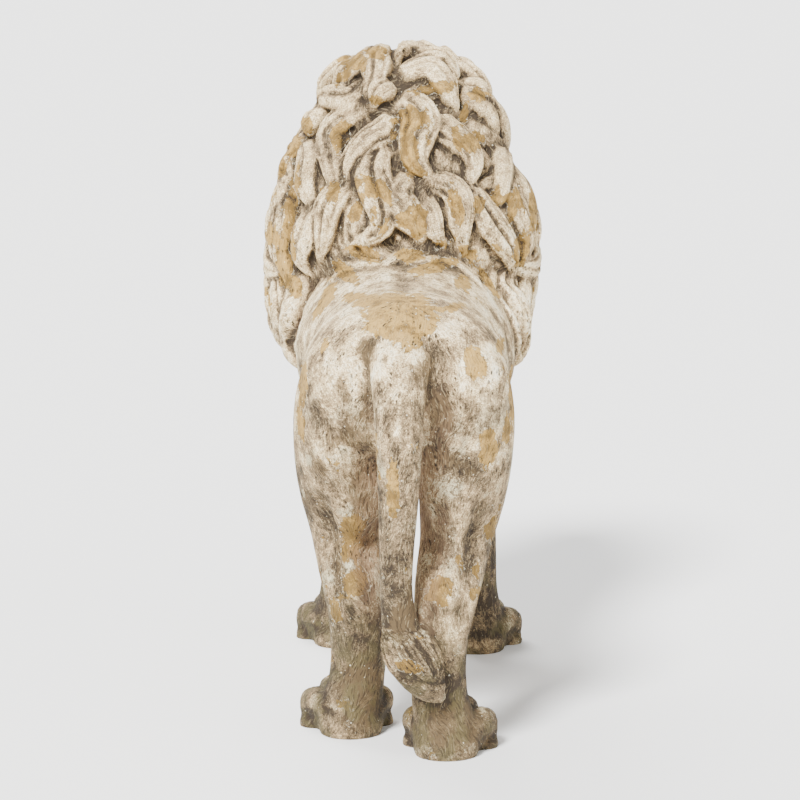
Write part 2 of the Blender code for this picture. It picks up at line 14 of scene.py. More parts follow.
import bmesh
import bpy
import numpy as np
from mathutils import Matrix, Vector, noise
from mathutils.bvhtree import BVHTree
from mathutils.kdtree import KDTree


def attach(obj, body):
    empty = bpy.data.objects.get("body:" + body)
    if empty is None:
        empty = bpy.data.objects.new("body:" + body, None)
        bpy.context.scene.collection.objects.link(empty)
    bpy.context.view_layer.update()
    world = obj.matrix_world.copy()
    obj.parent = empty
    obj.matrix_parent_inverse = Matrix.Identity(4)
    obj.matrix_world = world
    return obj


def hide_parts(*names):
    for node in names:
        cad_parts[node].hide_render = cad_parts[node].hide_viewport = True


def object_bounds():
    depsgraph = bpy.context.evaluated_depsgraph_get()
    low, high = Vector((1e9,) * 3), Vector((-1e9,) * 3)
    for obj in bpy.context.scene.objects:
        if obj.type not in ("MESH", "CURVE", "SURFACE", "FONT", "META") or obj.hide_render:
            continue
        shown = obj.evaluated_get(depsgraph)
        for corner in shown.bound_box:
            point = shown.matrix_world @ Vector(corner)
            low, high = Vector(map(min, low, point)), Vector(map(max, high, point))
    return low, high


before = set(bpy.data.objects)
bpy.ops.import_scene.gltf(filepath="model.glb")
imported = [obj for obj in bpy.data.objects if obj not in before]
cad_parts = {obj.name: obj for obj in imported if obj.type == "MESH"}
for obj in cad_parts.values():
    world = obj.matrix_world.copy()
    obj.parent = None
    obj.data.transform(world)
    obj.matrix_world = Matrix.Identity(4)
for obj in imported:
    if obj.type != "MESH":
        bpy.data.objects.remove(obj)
CAD_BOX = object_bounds()

# Places and sizes are in parts, as in the frame's own figure, which is this many parts high in its box.
BOX_PARTS = 720.7
PART = (CAD_BOX[1].z - CAD_BOX[0].z) / BOX_PARTS

# How finely the clay is fused, in parts, how many times it is smoothed over, and the triangles that the
# finished figure keeps.
MASS_VOXEL = 6
FORM_VOXEL = 2.2
SKIN_VOXEL = 1.8
MASS_SMOOTHING = 13
FORM_SMOOTHING = 3
SKIN_SMOOTHING = 1
MOST_TRIANGLES = 196000

# Torso sections from the rump to the chest: place along the back, top, bottom and half width.
TORSO = (
    (350, 436, 368, 34),
    (334, 462, 332, 80),
    (300, 478, 308, 103),
    (250, 483, 300, 110),
    (190, 478, 298, 104),
    (130, 473, 290, 100),
    (60, 473, 272, 109),
    (-20, 480, 252, 124),
    (-95, 489, 240, 128),
    (-165, 498, 248, 118),
    (-225, 496, 272, 102),
    (-275, 466, 314, 74),
)

# Above each hock: how far the hollows beside its tendon lie across, the tool's radius and its depth; a depth
# below zero raises the tendon between them.
HOCK_HOLLOWS = ((-21, 16, 5), (0, 10, -3), (21, 16, 5))

# The point of the hock: how far it stands back from the leg's middle, its height and its radii.
HOCK_POINT = (21, 174, (18, 16, 25))

# The muscles over a hip and thigh: the centre, outwards, back and up, how far it follows the leg's stride,
# its radii and its tilt in degrees. Then those of a shoulder, an elbow and a flank, which don't follow a leg.
HIP_MUSCLES = (
    ((61, 290, 390), 0.2, (50, 60, 62), 0),
    ((70, 230, 346), 0.35, (46, 62, 80), -18),
    ((52, 286, 318), 0.45, (38, 36, 98), 6),
    ((28, 314, 398), 0, (40, 32, 60), 0),
)
SHOULDER_MUSCLES = (
    ((78, -172, 388), (42, 66, 94), 12),
    ((80, -136, 306), (32, 38, 38), 0),
    ((54, 176, 316), (34, 60, 36), 0),
)

# The middle of a hind leg at its hock, outwards and back, and how far the hock's point tilts, in degrees.
HOCK_MIDDLE = (50, 298)
HOCK_TILT = 12

# The strokes that part the muscles, each a path, the tool's radius and its depth: the spine's, then those of
# the left side, which its right side mirrors: flank, shoulder and the hollow by the tail.
SPINE_STROKE = (((0, 270, 480), (0, 190, 480), (0, 90, 474), (0, -20, 480)), 18, 2.5)
SIDE_STROKES = (
    (((100, 150, 440), (98, 168, 380), (84, 176, 330), (62, 176, 300)), 24, 6),
    (((96, -78, 462), (116, -88, 390), (104, -104, 320), (84, -112, 280)), 22, 6),
    (((36, 352, 440), (40, 356, 400), (38, 356, 370)), 20, 4),
)

# The ribs that show: how many, how far back the first is and how far apart they are, the path of one from
# there, and the tool's radius and depth.
RIBS = 3
FIRST_RIB = -30
RIB_SPACING = 48
RIB_PATH = ((106, 0, 424), (116, -8, 380), (106, -24, 320))
RIB_RADIUS = 20
RIB_DEPTH = 1.6

# How high the widest line of the trunk lies, as a share of its height.
TRUNK_BELT = 0.55

# The trunk and hips stand this far to the lion's left of its head; below zero is to its right.
TRUNK_LEAN = -3

# Leg stations from the body down: x (outwards), y, z, half width and half depth.
HIND_LEG = (
    (58, 262, 421, 44, 72),
    (65, 254, 366, 52, 90),
    (66, 242, 314, 52, 84),
    (64, 238, 265, 47, 68),
    (59, 251, 222, 39, 47),
    (53, 284, 192, 37, 38),
    (49, 303, 166, 34, 34),
    (44, 302, 124, 31, 27),
    (44, 293, 68, 31, 28),
    (52, 284, 26, 35, 38),
)
FRONT_LEG = (
    (62, -172, 426, 40, 68),
    (72, -174, 360, 46, 70),
    (76, -158, 298, 43, 59),
    (73, -164, 238, 38, 47),
    (69, -172, 178, 34, 39),
    (69, -176, 122, 33, 36),
    (71, -184, 68, 33, 33),
    (78, -194, 26, 36, 39),
)

# Each foot's leg, its side, and how far its stride and its sway move it from the leg's own stations.
FEET = {
    "left_hind": (HIND_LEG, 1, -60, 5),
    "right_hind": (HIND_LEG, -1, 34, 6),
    "left_front": (FRONT_LEG, 1, -20, -5),
    "right_front": (FRONT_LEG, -1, 10, -9),
}

# A paw turns out a little. Its toes: how far across each is, how far ahead of the ankle its tip reaches, and
# how high its knuckle stands.
PAW_TURN = 7
TOES = ((-36, 46, 33), (-12.5, 76, 39), (12.5, 76, 39), (36, 46, 33))

# Tail stations: x, y, z and radius. The tail hangs straight, and its end curls against the right leg.
TAIL = (
    (0, 292, 424, 34),
    (2, 326, 426, 33),
    (4, 357, 408, 30),
    (4, 375, 378, 26.5),
    (4, 383, 338, 24),
    (5, 382, 280, 21),
    (7, 376, 229, 18.5),
    (7, 369, 188, 17),
    (4, 366, 156, 19),
    (-2, 369, 133, 23),
    (-12, 369, 108, 25),
    (-27, 365, 84, 18),
    (-42, 360, 68, 5),
)

# The strands of the tuft: x, y and z of each root, how high they stand, the length of the first and how much
# shorter each next one is, and their width.
TUFT_ROOTS = (
    (18, 380, 150),
    (10, 388, 152),
    (0, 388, 146),
    (-12, 386, 146),
    (-20, 380, 146),
)
TUFT_LIFT = 3
TUFT_LENGTH = 90
TUFT_SHORTER = 5
TUFT_WIDTH = 15

# The grooves between the tuft's hairs, and the pits of the pupils and the whiskers: the tool's radius and its
# depth.
TUFT_CUT_RADIUS = 3.4
TUFT_CUT_DEPTH = 3.0
PUPIL_RADIUS = 5.0
PUPIL_DEPTH = 2.6
WHISKER_RADIUS = 3.2
WHISKER_DEPTH = 2.2

# The masses of the head: centre from the middle of the skull, radii and tilt in degrees. The skull and brow,
# the muzzle, chin, jaw and nose, then those of the left side, which the right side mirrors: the lip, the
# cheek, the brow's ridge and the jaw's corner.
SKULL_MASSES = (
    ((0, 0, 0), (76, 78, 66), 0),
    ((0, -38, 34), (50, 36, 26), 0),
)
MUZZLE_MASSES = (
    ((0, -74, -32), (50, 47, 40), 0),
    ((0, -86, -70), (30, 33, 25), 0),
    ((0, -58, -66), (42, 50, 26), 0),
    ((0, -118, -14), (22, 11, 11), 0),
)
CHEEK_MASSES = (
    ((25, -98, -36), (27, 28, 25), 0),
    ((58, -22, -22), (36, 46, 44), 0),
    ((33, -61, 35), (25, 20, 11), 20),
    ((44, -38, -56), (26, 44, 30), 0),
)

# The bridge of the nose: stations from the middle of the skull, with half width and half depth.
NOSE_BRIDGE = (
    ((0, -38, 16), 30, 24),
    ((0, -70, 9), 23, 20),
    ((0, -98, -3), 22, 18),
    ((0, -115, -12), 24, 14),
)

# The left eye, from the middle of the skull: the ball's centre and radii, the middle of its opening, half its
# length, how far a lid bulges forward, and how far each lid rises and its thickness.
EYEBALL = (34, -70, 18.5)
EYEBALL_RADII = (12.5, 13.4, 11)
EYE_OPENING = (34, -75, 17.5)
EYE_HALF_LENGTH = 15
LID_BULGE = 8.5
LIDS = ((9.5, 3.4), (-6.5, 2.6))

# The line between the lips, from the middle to the lion's left corner, from the middle of the skull.
LIPS = ((0, -122, -51), (15, -118, -57), (32, -104, -62), (46, -80, -58), (55, -54, -44))

# The masses under the mane: centre and radii.
MANE_MASSES = (
    ((0, -178, 486), (141, 112, 145)),
    ((1, -222, 594), (109, 100, 110)),
    ((42, -196, 554), (88, 84, 66)),
    ((98, -188, 446), (43, 78, 100)),
    ((-96, -188, 456), (41, 78, 92)),
    ((0, -250, 406), (98, 66, 116)),
)
MANE_CENTRE = (0, -185, 516)

# How far back and how far forward along the body the mane shows from behind, and the height below which its
# locks hang at the sides of the trunk.
MANE_BACK = -60
MANE_SIDE = -185
MANE_HANG = 445

# The middle of the face, which the rings of locks stand round, and the middle of the skull, which the
# features of the head are placed from.
FACE_CENTRE = (0, -330, 612)
HEAD = (0, -276, 630)

# The left ear, from the middle of the skull, its radii and tilt, and the room that the locks leave round it.
EAR = (67, -4, 42)
EAR_RADII = (23, 13, 25)
EAR_TILT = -14
EAR_CLEARANCE = 36

# The viewpoint that the figure is read from, behind it and above: its place in parts, how far its gaze falls
# for each part that it looks ahead, how many squares of the view show one part from one part away, and the
# view's middle. Places in the view are squares across and down from its top left corner, in a view of 800
# by 800. The camera takes this viewpoint with a sensor of 36 mm.
EYE = (0, 4280, 1016)
EYE_FALL = 618 / 3845
EYE_REACH = 3845
VIEW_MIDDLE = (403, 400)
VIEW_SIDE = 800
SENSOR = 36

# The locks that show from behind, each laid between two ends in that view: its root, across and down, its
# tip, across and down, its width, and how far it bows and swings to the lion's right of the straight line,
# all in squares of the view.
BACK_LOCKS = (
    (358, 50, 330, 84, 24, -6, 0),
    (384, 50, 358, 96, 30, 8, -4),
    (394, 46, 410, 58, 26, 5, 0),
    (414, 58, 458, 80, 36, 9, 0),
    (470, 76, 493, 102, 28, 6, 0),
    (402, 76, 456, 112, 32, 14, 4),
    (392, 86, 374, 112, 30, -4, 0),
    (326, 108, 302, 136, 30, 6, 0),
    (362, 84, 318, 112, 28, 4, 6),
    (370, 106, 338, 206, 30, -20, -6),
    (392, 118, 350, 196, 32, -6, 4),
    (402, 100, 438, 182, 38, -4, 11),
    (440, 116, 468, 188, 36, 4, -5),
    (466, 128, 497, 212, 30, 14, 3),
    (460, 92, 496, 148, 36, 6, 0),
    (502, 120, 512, 172, 26, 4, 0),
    (384, 150, 350, 246, 36, 16, -12),
    (408, 178, 418, 248, 36, -8, -8),
    (424, 180, 464, 254, 30, 14, 6),
    (420, 196, 446, 248, 22, -3, 2),
    (472, 190, 506, 284, 32, 4, -4),
    (354, 182, 322, 264, 30, -8, -3),
    (298, 132, 303, 200, 27, -12, -4),
    (306, 146, 324, 212, 28, -2, 4),
    (276, 176, 269, 266, 34, -10, 0),
    (304, 182, 298, 298, 32, -14, -5),
    (314, 204, 316, 276, 30, -4, 4),
    (276, 256, 286, 356, 36, -9, 0),
    (286, 280, 304, 346, 30, 3, 4),
    (512, 158, 534, 246, 34, 9, 0),
    (508, 176, 512, 268, 30, 4, -5),
    (522, 228, 518, 306, 32, 9, 0),
    (528, 280, 518, 328, 30, 7, 0),
)

# The rings of locks that cover the rest of the mane: how far each stands from the face's axis as seen from
# the middle of the mane, in degrees, how many locks it has, their length and their width.
MANE_RINGS = (
    (128, 17, 112, 45),
    (110, 20, 114, 45),
    (92, 21, 114, 44),
    (74, 21, 106, 42),
    (57, 20, 94, 38),
    (42, 18, 80, 33),
    (29, 16, 58, 27),
)

# How unevenly the rings' locks are set: how far each root strays in degrees, how their size, swing and curl
# range, and how often one swings against its neighbours.
RING_STRAY = 4
LOCK_SIZES = (0.88, 1.14)
LOCK_SWINGS = (0.35, 0.8)
LOCK_CURLS = (0.4, 1.3)
CONTRARY_LOCKS = 0.2

# The locks that hang over each shoulder: how far back and how high each root is, its length, how far it
# swings and how far it curls. The roots are looked for from this far out.
SHOULDER_REACH = 140
SHOULDER_LOCKS = (
    (-112, 454, 104, 0.4, -0.8),
    (-139, 442, 112, -0.4, 0.7),
    (-166, 454, 114, 0.4, -0.9),
    (-193, 440, 108, -0.4, 0.9),
    (-220, 450, 102, 0.4, -0.8),
)
SHOULDER_WIDTH = 44

# The sections along an eyelid.
LID_SECTIONS = 9

# The lowest point that a lock's tip may reach: on the chest, and elsewhere.
CHEST_HEM = 305
SIDE_HEM = 338

# A lock's own make: the sections along it and round it, how high it stands off the skin and how thick it is
# as a share of its width, in the upper and in the under layer, and the strands that it is combed into.
LOCK_STEPS = 15
LOCK_SIDES = 24
LOCK_LIFT = 12
UNDER_LIFT = 2
LOCK_THICKNESS = 0.33
UNDER_THICKNESS = 0.14
LOCK_STRANDS = 3
STRAND_DEPTH = 0.28

# The sides of a lock's section that a parting runs along, the parting tool's radius and how deep it cuts, the
# share of them that are cut deeper still, and the share that are left out.
PARTING_SIDES = (3, 5, 6, 7, 9)
PARTING_RADIUS = 3.4
PARTING_DEPTH = 1.5
DEEP_PARTINGS = 0.3
MISSING_PARTINGS = 0.5

# The hairs carved into the coat: how many, their length, the tool's radius, its depth and how far they sway.
COAT_HAIRS = 4200
HAIR_LENGTH = (13, 30)
HAIR_RADIUS = 2.7
HAIR_DEPTH = (0.3, 0.75)
HAIR_SWAY = 0.35
HAIR_STEPS = 5

# How the coat lies, as a comb would be drawn over the lion's left side: place and direction. The right side
# is its mirror image, and the legs and the tail have their hair run down them.
COAT = (
    ((20, -20, 480), (0.5, 0.8, -0.2)),
    ((20, 60, 474), (0.5, 0.8, -0.2)),
    ((20, 150, 478), (0.5, 0.8, -0.2)),
    ((20, 240, 482), (0.5, 0.8, -0.2)),
    ((18, 310, 474), (0.5, 0.6, -0.5)),
    ((70, 0, 462), (0.8, 0.5, -0.6)),
    ((70, 100, 455), (0.8, 0.5, -0.6)),
    ((70, 200, 460), (0.8, 0.4, -0.7)),
    ((66, 290, 455), (0.7, 0.2, -0.8)),
    ((116, 0, 400), (0.1, 0.5, -0.85)),
    ((106, 100, 400), (0.1, 0.5, -0.85)),
    ((106, 190, 410), (0.1, 0.3, -0.95)),
    ((108, 0, 310), (-0.2, 0.8, -0.5)),
    ((98, 110, 310), (-0.2, 0.7, -0.6)),
    ((30, 0, 256), (0.1, 1, 0)),
    ((30, 110, 282), (0.1, 1, 0)),
    ((30, 190, 298), (0.1, 0.8, -0.5)),
    ((44, 338, 446), (0.45, 0.3, -0.85)),
    ((84, 318, 426), (0.3, 0.2, -0.95)),
    ((116, 250, 380), (0, 0.3, -0.95)),
    ((110, 230, 310), (-0.1, 0.35, -0.9)),
    ((84, 322, 380), (-0.4, 0.1, -0.9)),
    ((66, 318, 330), (-0.45, 0.1, -0.9)),
    ((88, 292, 300), (-0.25, 0.25, -0.95)),
    ((34, 318, 350), (0.2, 0.1, -0.95)),
    ((104, -150, 380), (0.1, 0.4, -0.9)),
    ((0, -300, 380), (0, 0.1, -1)),
    ((0, -386, 630), (0, 0.9, 0.35)),
    ((10, -346, 668), (0.2, 0.7, 0.7)),
    ((62, -318, 606), (0.6, 0.7, -0.2)),
    ((30, -378, 592), (0.6, 0.8, -0.1)),
    ((0, -366, 556), (0, 0.5, -0.85)),
)

# The paint's worn patches in that view: across and down of the middle, half width and half height, and how
# many degrees the top leans to the lion's right.
WORN_PATCHES = (
    (352, 60, 13, 10, 20),
    (378, 53, 10, 6, 0),
    (343, 76, 5, 12, 35),
    (434, 88, 21, 6, -8),
    (412, 119, 19, 12, 0),
    (409, 152, 8, 24, -5),
    (418, 172, 10, 6, 20),
    (376, 100, 6, 5, 0),
    (341, 135, 10, 14, 10),
    (307, 126, 7, 8, 0),
    (293, 146, 6, 15, 8),
    (376, 189, 19, 9, 35),
    (356, 212, 6, 14, 25),
    (411, 217, 14, 9, -35),
    (418, 232, 7, 10, 20),
    (456, 206, 6, 20, -12),
    (473, 142, 11, 9, -30),
    (457, 139, 4, 14, -10),
    (464, 115, 5, 11, 10),
    (291, 212, 6, 42, 8),
    (286, 262, 8, 26, 0),
    (296, 286, 6, 12, -10),
    (272, 233, 7, 11, 0),
    (534, 212, 4, 26, -5),
    (512, 208, 5, 18, 12),
    (333, 191, 6, 13, 10),
    (479, 204, 5, 9, 0),
    (521, 250, 7, 18, 5),
    (281, 170, 5, 10, 10),
    (363, 253, 18, 7, 18),
    (345, 272, 18, 7, 42),
    (325, 300, 5, 20, 30),
    (410, 255, 15, 7, 0),
    (436, 266, 25, 6, -14),
    (463, 283, 8, 8, -45),
    (466, 255, 5, 12, -38),
    (488, 282, 4, 20, -32),
    (398, 306, 31, 14, 0),
    (412, 330, 22, 16, -10),
    (384, 322, 20, 14, 0),
    (362, 300, 20, 6, 10),
    (455, 307, 15, 4, -18),
    (474, 363, 10, 15, -20),
    (325, 345, 4, 8, 15),
    (303, 384, 4, 22, 3),
    (301, 424, 4, 15, -4),
    (513, 392, 4, 25, 3),
    (506, 430, 4, 13, 0),
    (488, 448, 8, 19, 5),
    (393, 462, 5, 6, 0),
    (393, 491, 6, 26, 2),
    (356, 584, 14, 12, 0),
    (439, 591, 12, 14, 8),
    (353, 538, 12, 24, 0),
    (490, 530, 6, 11, 8),
    (473, 596, 3, 4, 0),
    (408, 667, 13, 6, 12),
    (336, 610, 5, 12, 0),
    (500, 345, 4, 9, 10),
)

# The patches where brown dirt lies, and beside the tail root painted shadow, read the same way.
SOILED_AND_SHADOWED_PATCHES = (
    (368, 420, 10, 30, 0),
    (355, 432, 14, 17, 10),
    (349, 417, 7, 15, 0),
    (366, 352, 9, 12, 10),
    (340, 386, 9, 8, 30),
    (330, 440, 9, 10, 0),
    (319, 470, 8, 12, 0),
    (362, 494, 15, 28, 0),
    (309, 502, 6, 14, 0),
    (441, 409, 16, 22, -10),
    (424, 369, 15, 10, -20),
    (428, 480, 8, 36, 0),
    (448, 459, 14, 11, 20),
    (470, 472, 10, 8, 30),
    (341, 560, 6, 30, -5),
    (413, 601, 8, 32, 5),
    (400, 620, 11, 24, 0),
    (360, 692, 24, 42, 0),
    (455, 729, 44, 26, 0),
)

# Elsewhere patches come by chance: their size, and how rare they are where the drawn ones are and where not.
CHANCE_PATCH = 46
RARE_AMONG_DRAWN = 1.15
RARE_ELSEWHERE = 0.62

# The masks of depth: how many rounds the skin is evened out to find its dips, the dip in parts that counts as
# one, and the rounds that find the ground level round them, or 0 for none.
# The paint is darkened in these dips, partly by a grey-brown wash that lies in them and partly as painted
# shade, and paled on the crests between them as painted highlight.
DEPTH_MASKS = (
    ("crevice", 5, 0.8, 40),
    ("groove", 28, 3.2, 120),
    ("hollow", 160, 11.0, 0),
)

# How shelter is measured: the rays from each point, and how far one looks, in parts.
SHELTER_RAYS = 10
SHELTER_REACH = 130

# The colours of the finish: the paint from its cleanest to its dirtiest and most deeply shaded, each with how
# dirty and shaded it stands for from 0 to 1, the darker ones standing partly for painted shade in hollows and
# the palest partly for painted highlight on crests; then the ochre ground, the tints of the lower legs and of
# the sheltered places, that pink-brown partly paint and partly painted shade, the brown dirt, which beside
# the tail is painted shadow too, and the floor.
WHITE = (0.99, 0.91, 0.68)
CREAM = (0.84, 0.66, 0.37)
DULL_CREAM = (0.44, 0.315, 0.165)
SOILED_AND_SHADED_CREAM = (0.238, 0.164, 0.087)
GREY_WASH_AND_SHADE = (0.124, 0.088, 0.047)
DARK_WASH_AND_SHADE = (0.036, 0.025, 0.015)
PAINT_BY_DIRT_AND_SHADE = (
    (0.0, WHITE),
    (0.17, CREAM),
    (0.36, DULL_CREAM),
    (0.56, SOILED_AND_SHADED_CREAM),
    (0.78, GREY_WASH_AND_SHADE),
    (1.0, DARK_WASH_AND_SHADE),
)
OCHRE = (0.18, 0.106, 0.026)
PALE_OCHRE = (0.41, 0.252, 0.068)
COOL_WHITE = (0.46, 0.45, 0.30)
MOSS = (0.10, 0.082, 0.034)
BLUSH_AND_SHADE_TINT = (0.31, 0.185, 0.10)
BROWN_SOIL_AND_SHADOW = (0.17, 0.112, 0.05)
FLOOR_COLOUR = (0.92, 0.92, 0.91)

# How dirty the paint is everywhere, and how much darker it is made low down, in shelter, where that is
# painted shade with some grime, in the soiled patches, by brown dirt and beside the tail by painted shadow,
# on the paws and thighs, by dirt, on the back, which a value below zero makes lighter, and in the mane.
DIRT_EVERYWHERE = 0.385
DARKENING_LOW_DOWN = 0.27
SHELTERED_SHADE_AND_GRIME = 0.2
SOIL_AND_SHADOW_IN_PATCHES = 0.24
DIRT_ON_PAWS = 0.18
DIRT_ON_THIGHS = 0.07
DARKENING_ON_BACK = -0.08
DARKENING_IN_MANE = 0.07

# Heights in parts over which the finish changes: each change starts at the first and is whole at the second.
LOW_DOWN = (440, 60)
ON_PAWS = (190, 90)
BELOW_HIPS = (380, 320)
ABOVE_HOCKS = (180, 240)
ABOVE_FLANKS = (385, 420)
BELOW_MANE = (530, 500)
MANE_DARKENING_HEIGHTS = (500, 550)
MANE_OCHRE_HEIGHTS = (500, 540)
BELOW_BACK = (450, 400)
LEGS_BELOW = (330, 290)
LEGS_ABOVE = (180, 220)
COOL_BELOW = (420, 300)
DARK_OCHRE_BELOW = (330, 260)
MUDDY_BELOW = (190, 100)
BLUSH_AND_SHADE_BELOW = (470, 380)
BLUSH_AND_SHADE_ABOVE = (90, 200)
MOSS_BELOW = (210, 40)
DASHES_ABOVE = (110, 220)

# The clouds that the dirt lies in: size in parts, strength, detail and roughness.
SWIRL_CLOUD = (30, 4.2, 2, 0.55)
BROAD_CLOUDS = ((85, 0.7, 4, 0.55), (26, 0.6, 5, 0.6))
FLAKED_CLOUD = (14, 1.3, 8, 0.72)
SPONGED_CLOUDS = ((6, 0.6, 6, 0.7), (2.6, 0.7, 3, 0.8), (1.3, 0.6, 1, 0.55))
SOILED_AND_SHADOWED_CLOUD = (11, 2.2, 7, 0.68)
MOTTLED_CLOUD = (19, 1.4, 7, 0.66)
OCHRE_CLOUD = (17, 0.5, 4, 0.55)

# The layers of brush strokes: the size of the squares that they are scattered in, in parts, a stroke's half
# length and half width and how many squares hold one, as shares, and where the scatter is taken from.
DARK_HAIRS = ((12, 0.5, 0.062, 0.85, 3), (8, 0.48, 0.085, 0.8, 41), (9.5, 0.5, 0.07, 0.8, 17))
LIGHT_HAIRS = ((11, 0.5, 0.06, 0.8, 71), (7.5, 0.48, 0.08, 0.7, 97))
DARK_DASHES = ((8, 0.36, 0.15, 0.4, 53), (6, 0.36, 0.17, 0.28, 67))

# The small specks: size of the squares in parts, the share of them that hold one, and its radius as a share.
PITS = (6, 0.25, 0.17)
CHIPS = (5, 0.16, 0.17)

# How deep the finest relief is, in parts.
RELIEF_DEPTH = 1.2

FLOOR_SIZE = 60

# The lights: the direction towards each, its spread in degrees and its power, and how bright the room is.
LIGHTS = (
    ("key", (0.9, 2.2, 2.3), 14, 9.2),
    ("fill", (-2.0, 2.4, 1.0), 60, 1.6),
    ("front", (0.9, -2.2, 2.4), 40, 3.4),
)
ROOM_BRIGHTNESS = 0.6


def scaled(point):
    return Vector(point) * PART


def add_clay(clay, more):
    """Adds one lump of clay to another, and uses it up."""
    mesh = bpy.data.meshes.new("lump")
    more.to_mesh(mesh)
    more.free()
    clay.from_mesh(mesh)
    bpy.data.meshes.remove(mesh)


def ellipsoid(clay, centre, radii, tilt=0.0, segments=28):
    """A ball of clay, stretched to its radii and tilted about the X axis."""
    place = Matrix.Translation(scaled(centre)) @ Matrix.Rotation(math.radians(tilt), 4, "X")
    stretch = Matrix.Diagonal((*scaled(radii), 1))
    ball = bmesh.new()
    rings = segments // 2
    bmesh.ops.create_uvsphere(ball, u_segments=segments, v_segments=rings, radius=1, matrix=place @ stretch)
    add_clay(clay, ball)


def loft(clay, rings):
    """A closed skin through rings of points, all of one count, with a flat cap at each end."""
    rows = [[clay.verts.new(point) for point in ring] for ring in rings]
    count = len(rows[0])
    for low, high in zip(rows, rows[1:]):
        for i in range(count):
            j = (i + 1) % count
            clay.faces.new((low[i], low[j], high[j], high[i]))
    clay.faces.new(tuple(reversed(rows[0])))
    clay.faces.new(tuple(rows[-1]))


def limb(clay, stations, sides=20, width_axis=(1, 0, 0)):
    """A loft with an oval section at each station: centre, half width along the width axis and half depth."""
    centres = [scaled(station[:3]) for station in stations]
    rings = []
    for i, station in enumerate(stations):
        along = (centres[min(i + 1, len(centres) - 1)] - centres[max(i - 1, 0)]).normalized()
        across = (Vector(width_axis) - along * along.dot(Vector(width_axis))).normalized()
        deep = along.cross(across)
        wide, thick = station[3] * PART, station[-1] * PART
        turns = [2 * math.pi * k / sides for k in range(sides)]
        rings.append([centres[i] + across * wide * math.cos(a) + deep * thick * math.sin(a) for a in turns])
    loft(clay, rings)


def eased(stations, between=4):
    """Stations on a smooth curve through those given."""
    rows = np.array(stations, float)
    rows = np.vstack((2 * rows[0] - rows[1], rows, 2 * rows[-1] - rows[-2]))
    smooth = []
    for before, start, end, after in zip(rows, rows[1:], rows[2:], rows[3:]):
        for k in range(between):
            t = k / between
            slope = (end - before) * t
            bend = (2 * before - 5 * start + 4 * end - after) * t * t
            turn = (3 * start - before - 3 * end + after) * t ** 3
            smooth.append(tuple(start + 0.5 * (slope + bend + turn)))
    return [*smooth, tuple(rows[-2])]


def torso(clay, sides=28):
    """The trunk: egg-shaped sections across the back."""
    rings = []
    for y, top, bottom, half in TORSO:
        belt = bottom + TRUNK_BELT * (top - bottom)
        ring = []
        for k in range(sides):
            a = 2 * math.pi * k / sides
            reach = (top - belt) if math.sin(a) > 0 else (belt - bottom)
            ring.append(scaled((TRUNK_LEAN + half * math.cos(a), y, belt + reach * math.sin(a))))
        rings.append(ring)
    loft(clay, rings)


def haunches(clay):
    """Muscle over hips, thighs, flanks, shoulders and elbows; hips and thighs follow their leg's stride."""
    for _, side, stride, sway in (FEET["left_hind"], FEET["right_hind"]):
        for (x, y, z), share, radii, tilt in HIP_MUSCLES:
            ellipsoid(clay, (TRUNK_LEAN + side * x, y + share * stride, z), radii, tilt)
        back, height, radii = HOCK_POINT
        x, y = HOCK_MIDDLE
        ellipsoid(clay, (side * x + sway, y + back + stride, height), radii, HOCK_TILT)
    for side in (-1, 1):
        for (x, y, z), radii, tilt in SHOULDER_MUSCLES:
            ellipsoid(clay, (side * x, y, z), radii, tilt)


def leg_stations(stations, side, stride, sway):
    """The leg's stations on one side, with the foot moved along by stride and across by sway."""
    moved = []
    high, low = stations[0][2], stations[-3][2]
    for x, y, z, wide, thick in stations:
        share = min(1.0, (high - z) / (high - low))
        lean = TRUNK_LEAN * (1 - share) + sway * share
        moved.append((side * x + lean, y + stride * share, z, wide, thick))
    return moved


def paw(clay, foot, side):
    """A broad paw: a heel, a pad and an arc of toes with raised knuckles and blunt claws."""
    x, y = foot[0], foot[1]
    heading = Matrix.Rotation(math.radians(PAW_TURN) * side, 3, "Z")

    def placed(across, ahead, up):
        point = heading @ Vector((across, -ahead, 0))
        return (x + point.x, y + point.y, up)

    ellipsoid(clay, placed(0, -1, 12), (36, 38, 30))
    ellipsoid(clay, placed(0, 26, 18), (43, 42, 32))
    for across, reach, knuckle in TOES:
        toe = (
            (*placed(across * 0.6, reach - 56, knuckle - 6), 13, 15),
            (*placed(across * 0.9, reach - 30, knuckle - 1), 15, 16),
            (*placed(across, reach - 12, knuckle - 6), 16, 17),
            (*placed(across, reach, 17), 14.5, 18),
            (*placed(across, reach + 7, 6), 11, 13),
        )
        limb(clay, toe, sides=14)
        ellipsoid(clay, placed(across, reach - 8, 3), (16, 19, 14), segments=16)
        ellipsoid(clay, placed(across * 0.92, reach - 24, knuckle + 2), (14, 15, 12), segments=16)
        claw = (
            (*placed(across, reach + 4, 19), 4.5, 5),
            (*placed(across, reach + 13, 14), 4, 4.5),
            (*placed(across, reach + 19, 5), 2.5, 3),
        )
        limb(clay, claw, sides=10)


def on_head(across, back, up):
    """A place on the head, from the middle of the skull."""
    return (HEAD[0] + across, HEAD[1] + back, HEAD[2] + up)


def head(clay):
    """Skull, brow, cheeks, muzzle, jaw and ears."""
    for centre, radii, tilt in SKULL_MASSES:
        ellipsoid(clay, on_head(*centre), radii, tilt)
    limb(clay, [(*on_head(*place), *halves) for place, *halves in NOSE_BRIDGE])
    for centre, radii, tilt in MUZZLE_MASSES:
        ellipsoid(clay, on_head(*centre), radii, tilt)
    for side in (-1, 1):
        for (across, back, up), radii, tilt in (*CHEEK_MASSES, (EAR, EAR_RADII, EAR_TILT)):
            ellipsoid(clay, on_head(side * across, back, up), radii, tilt)


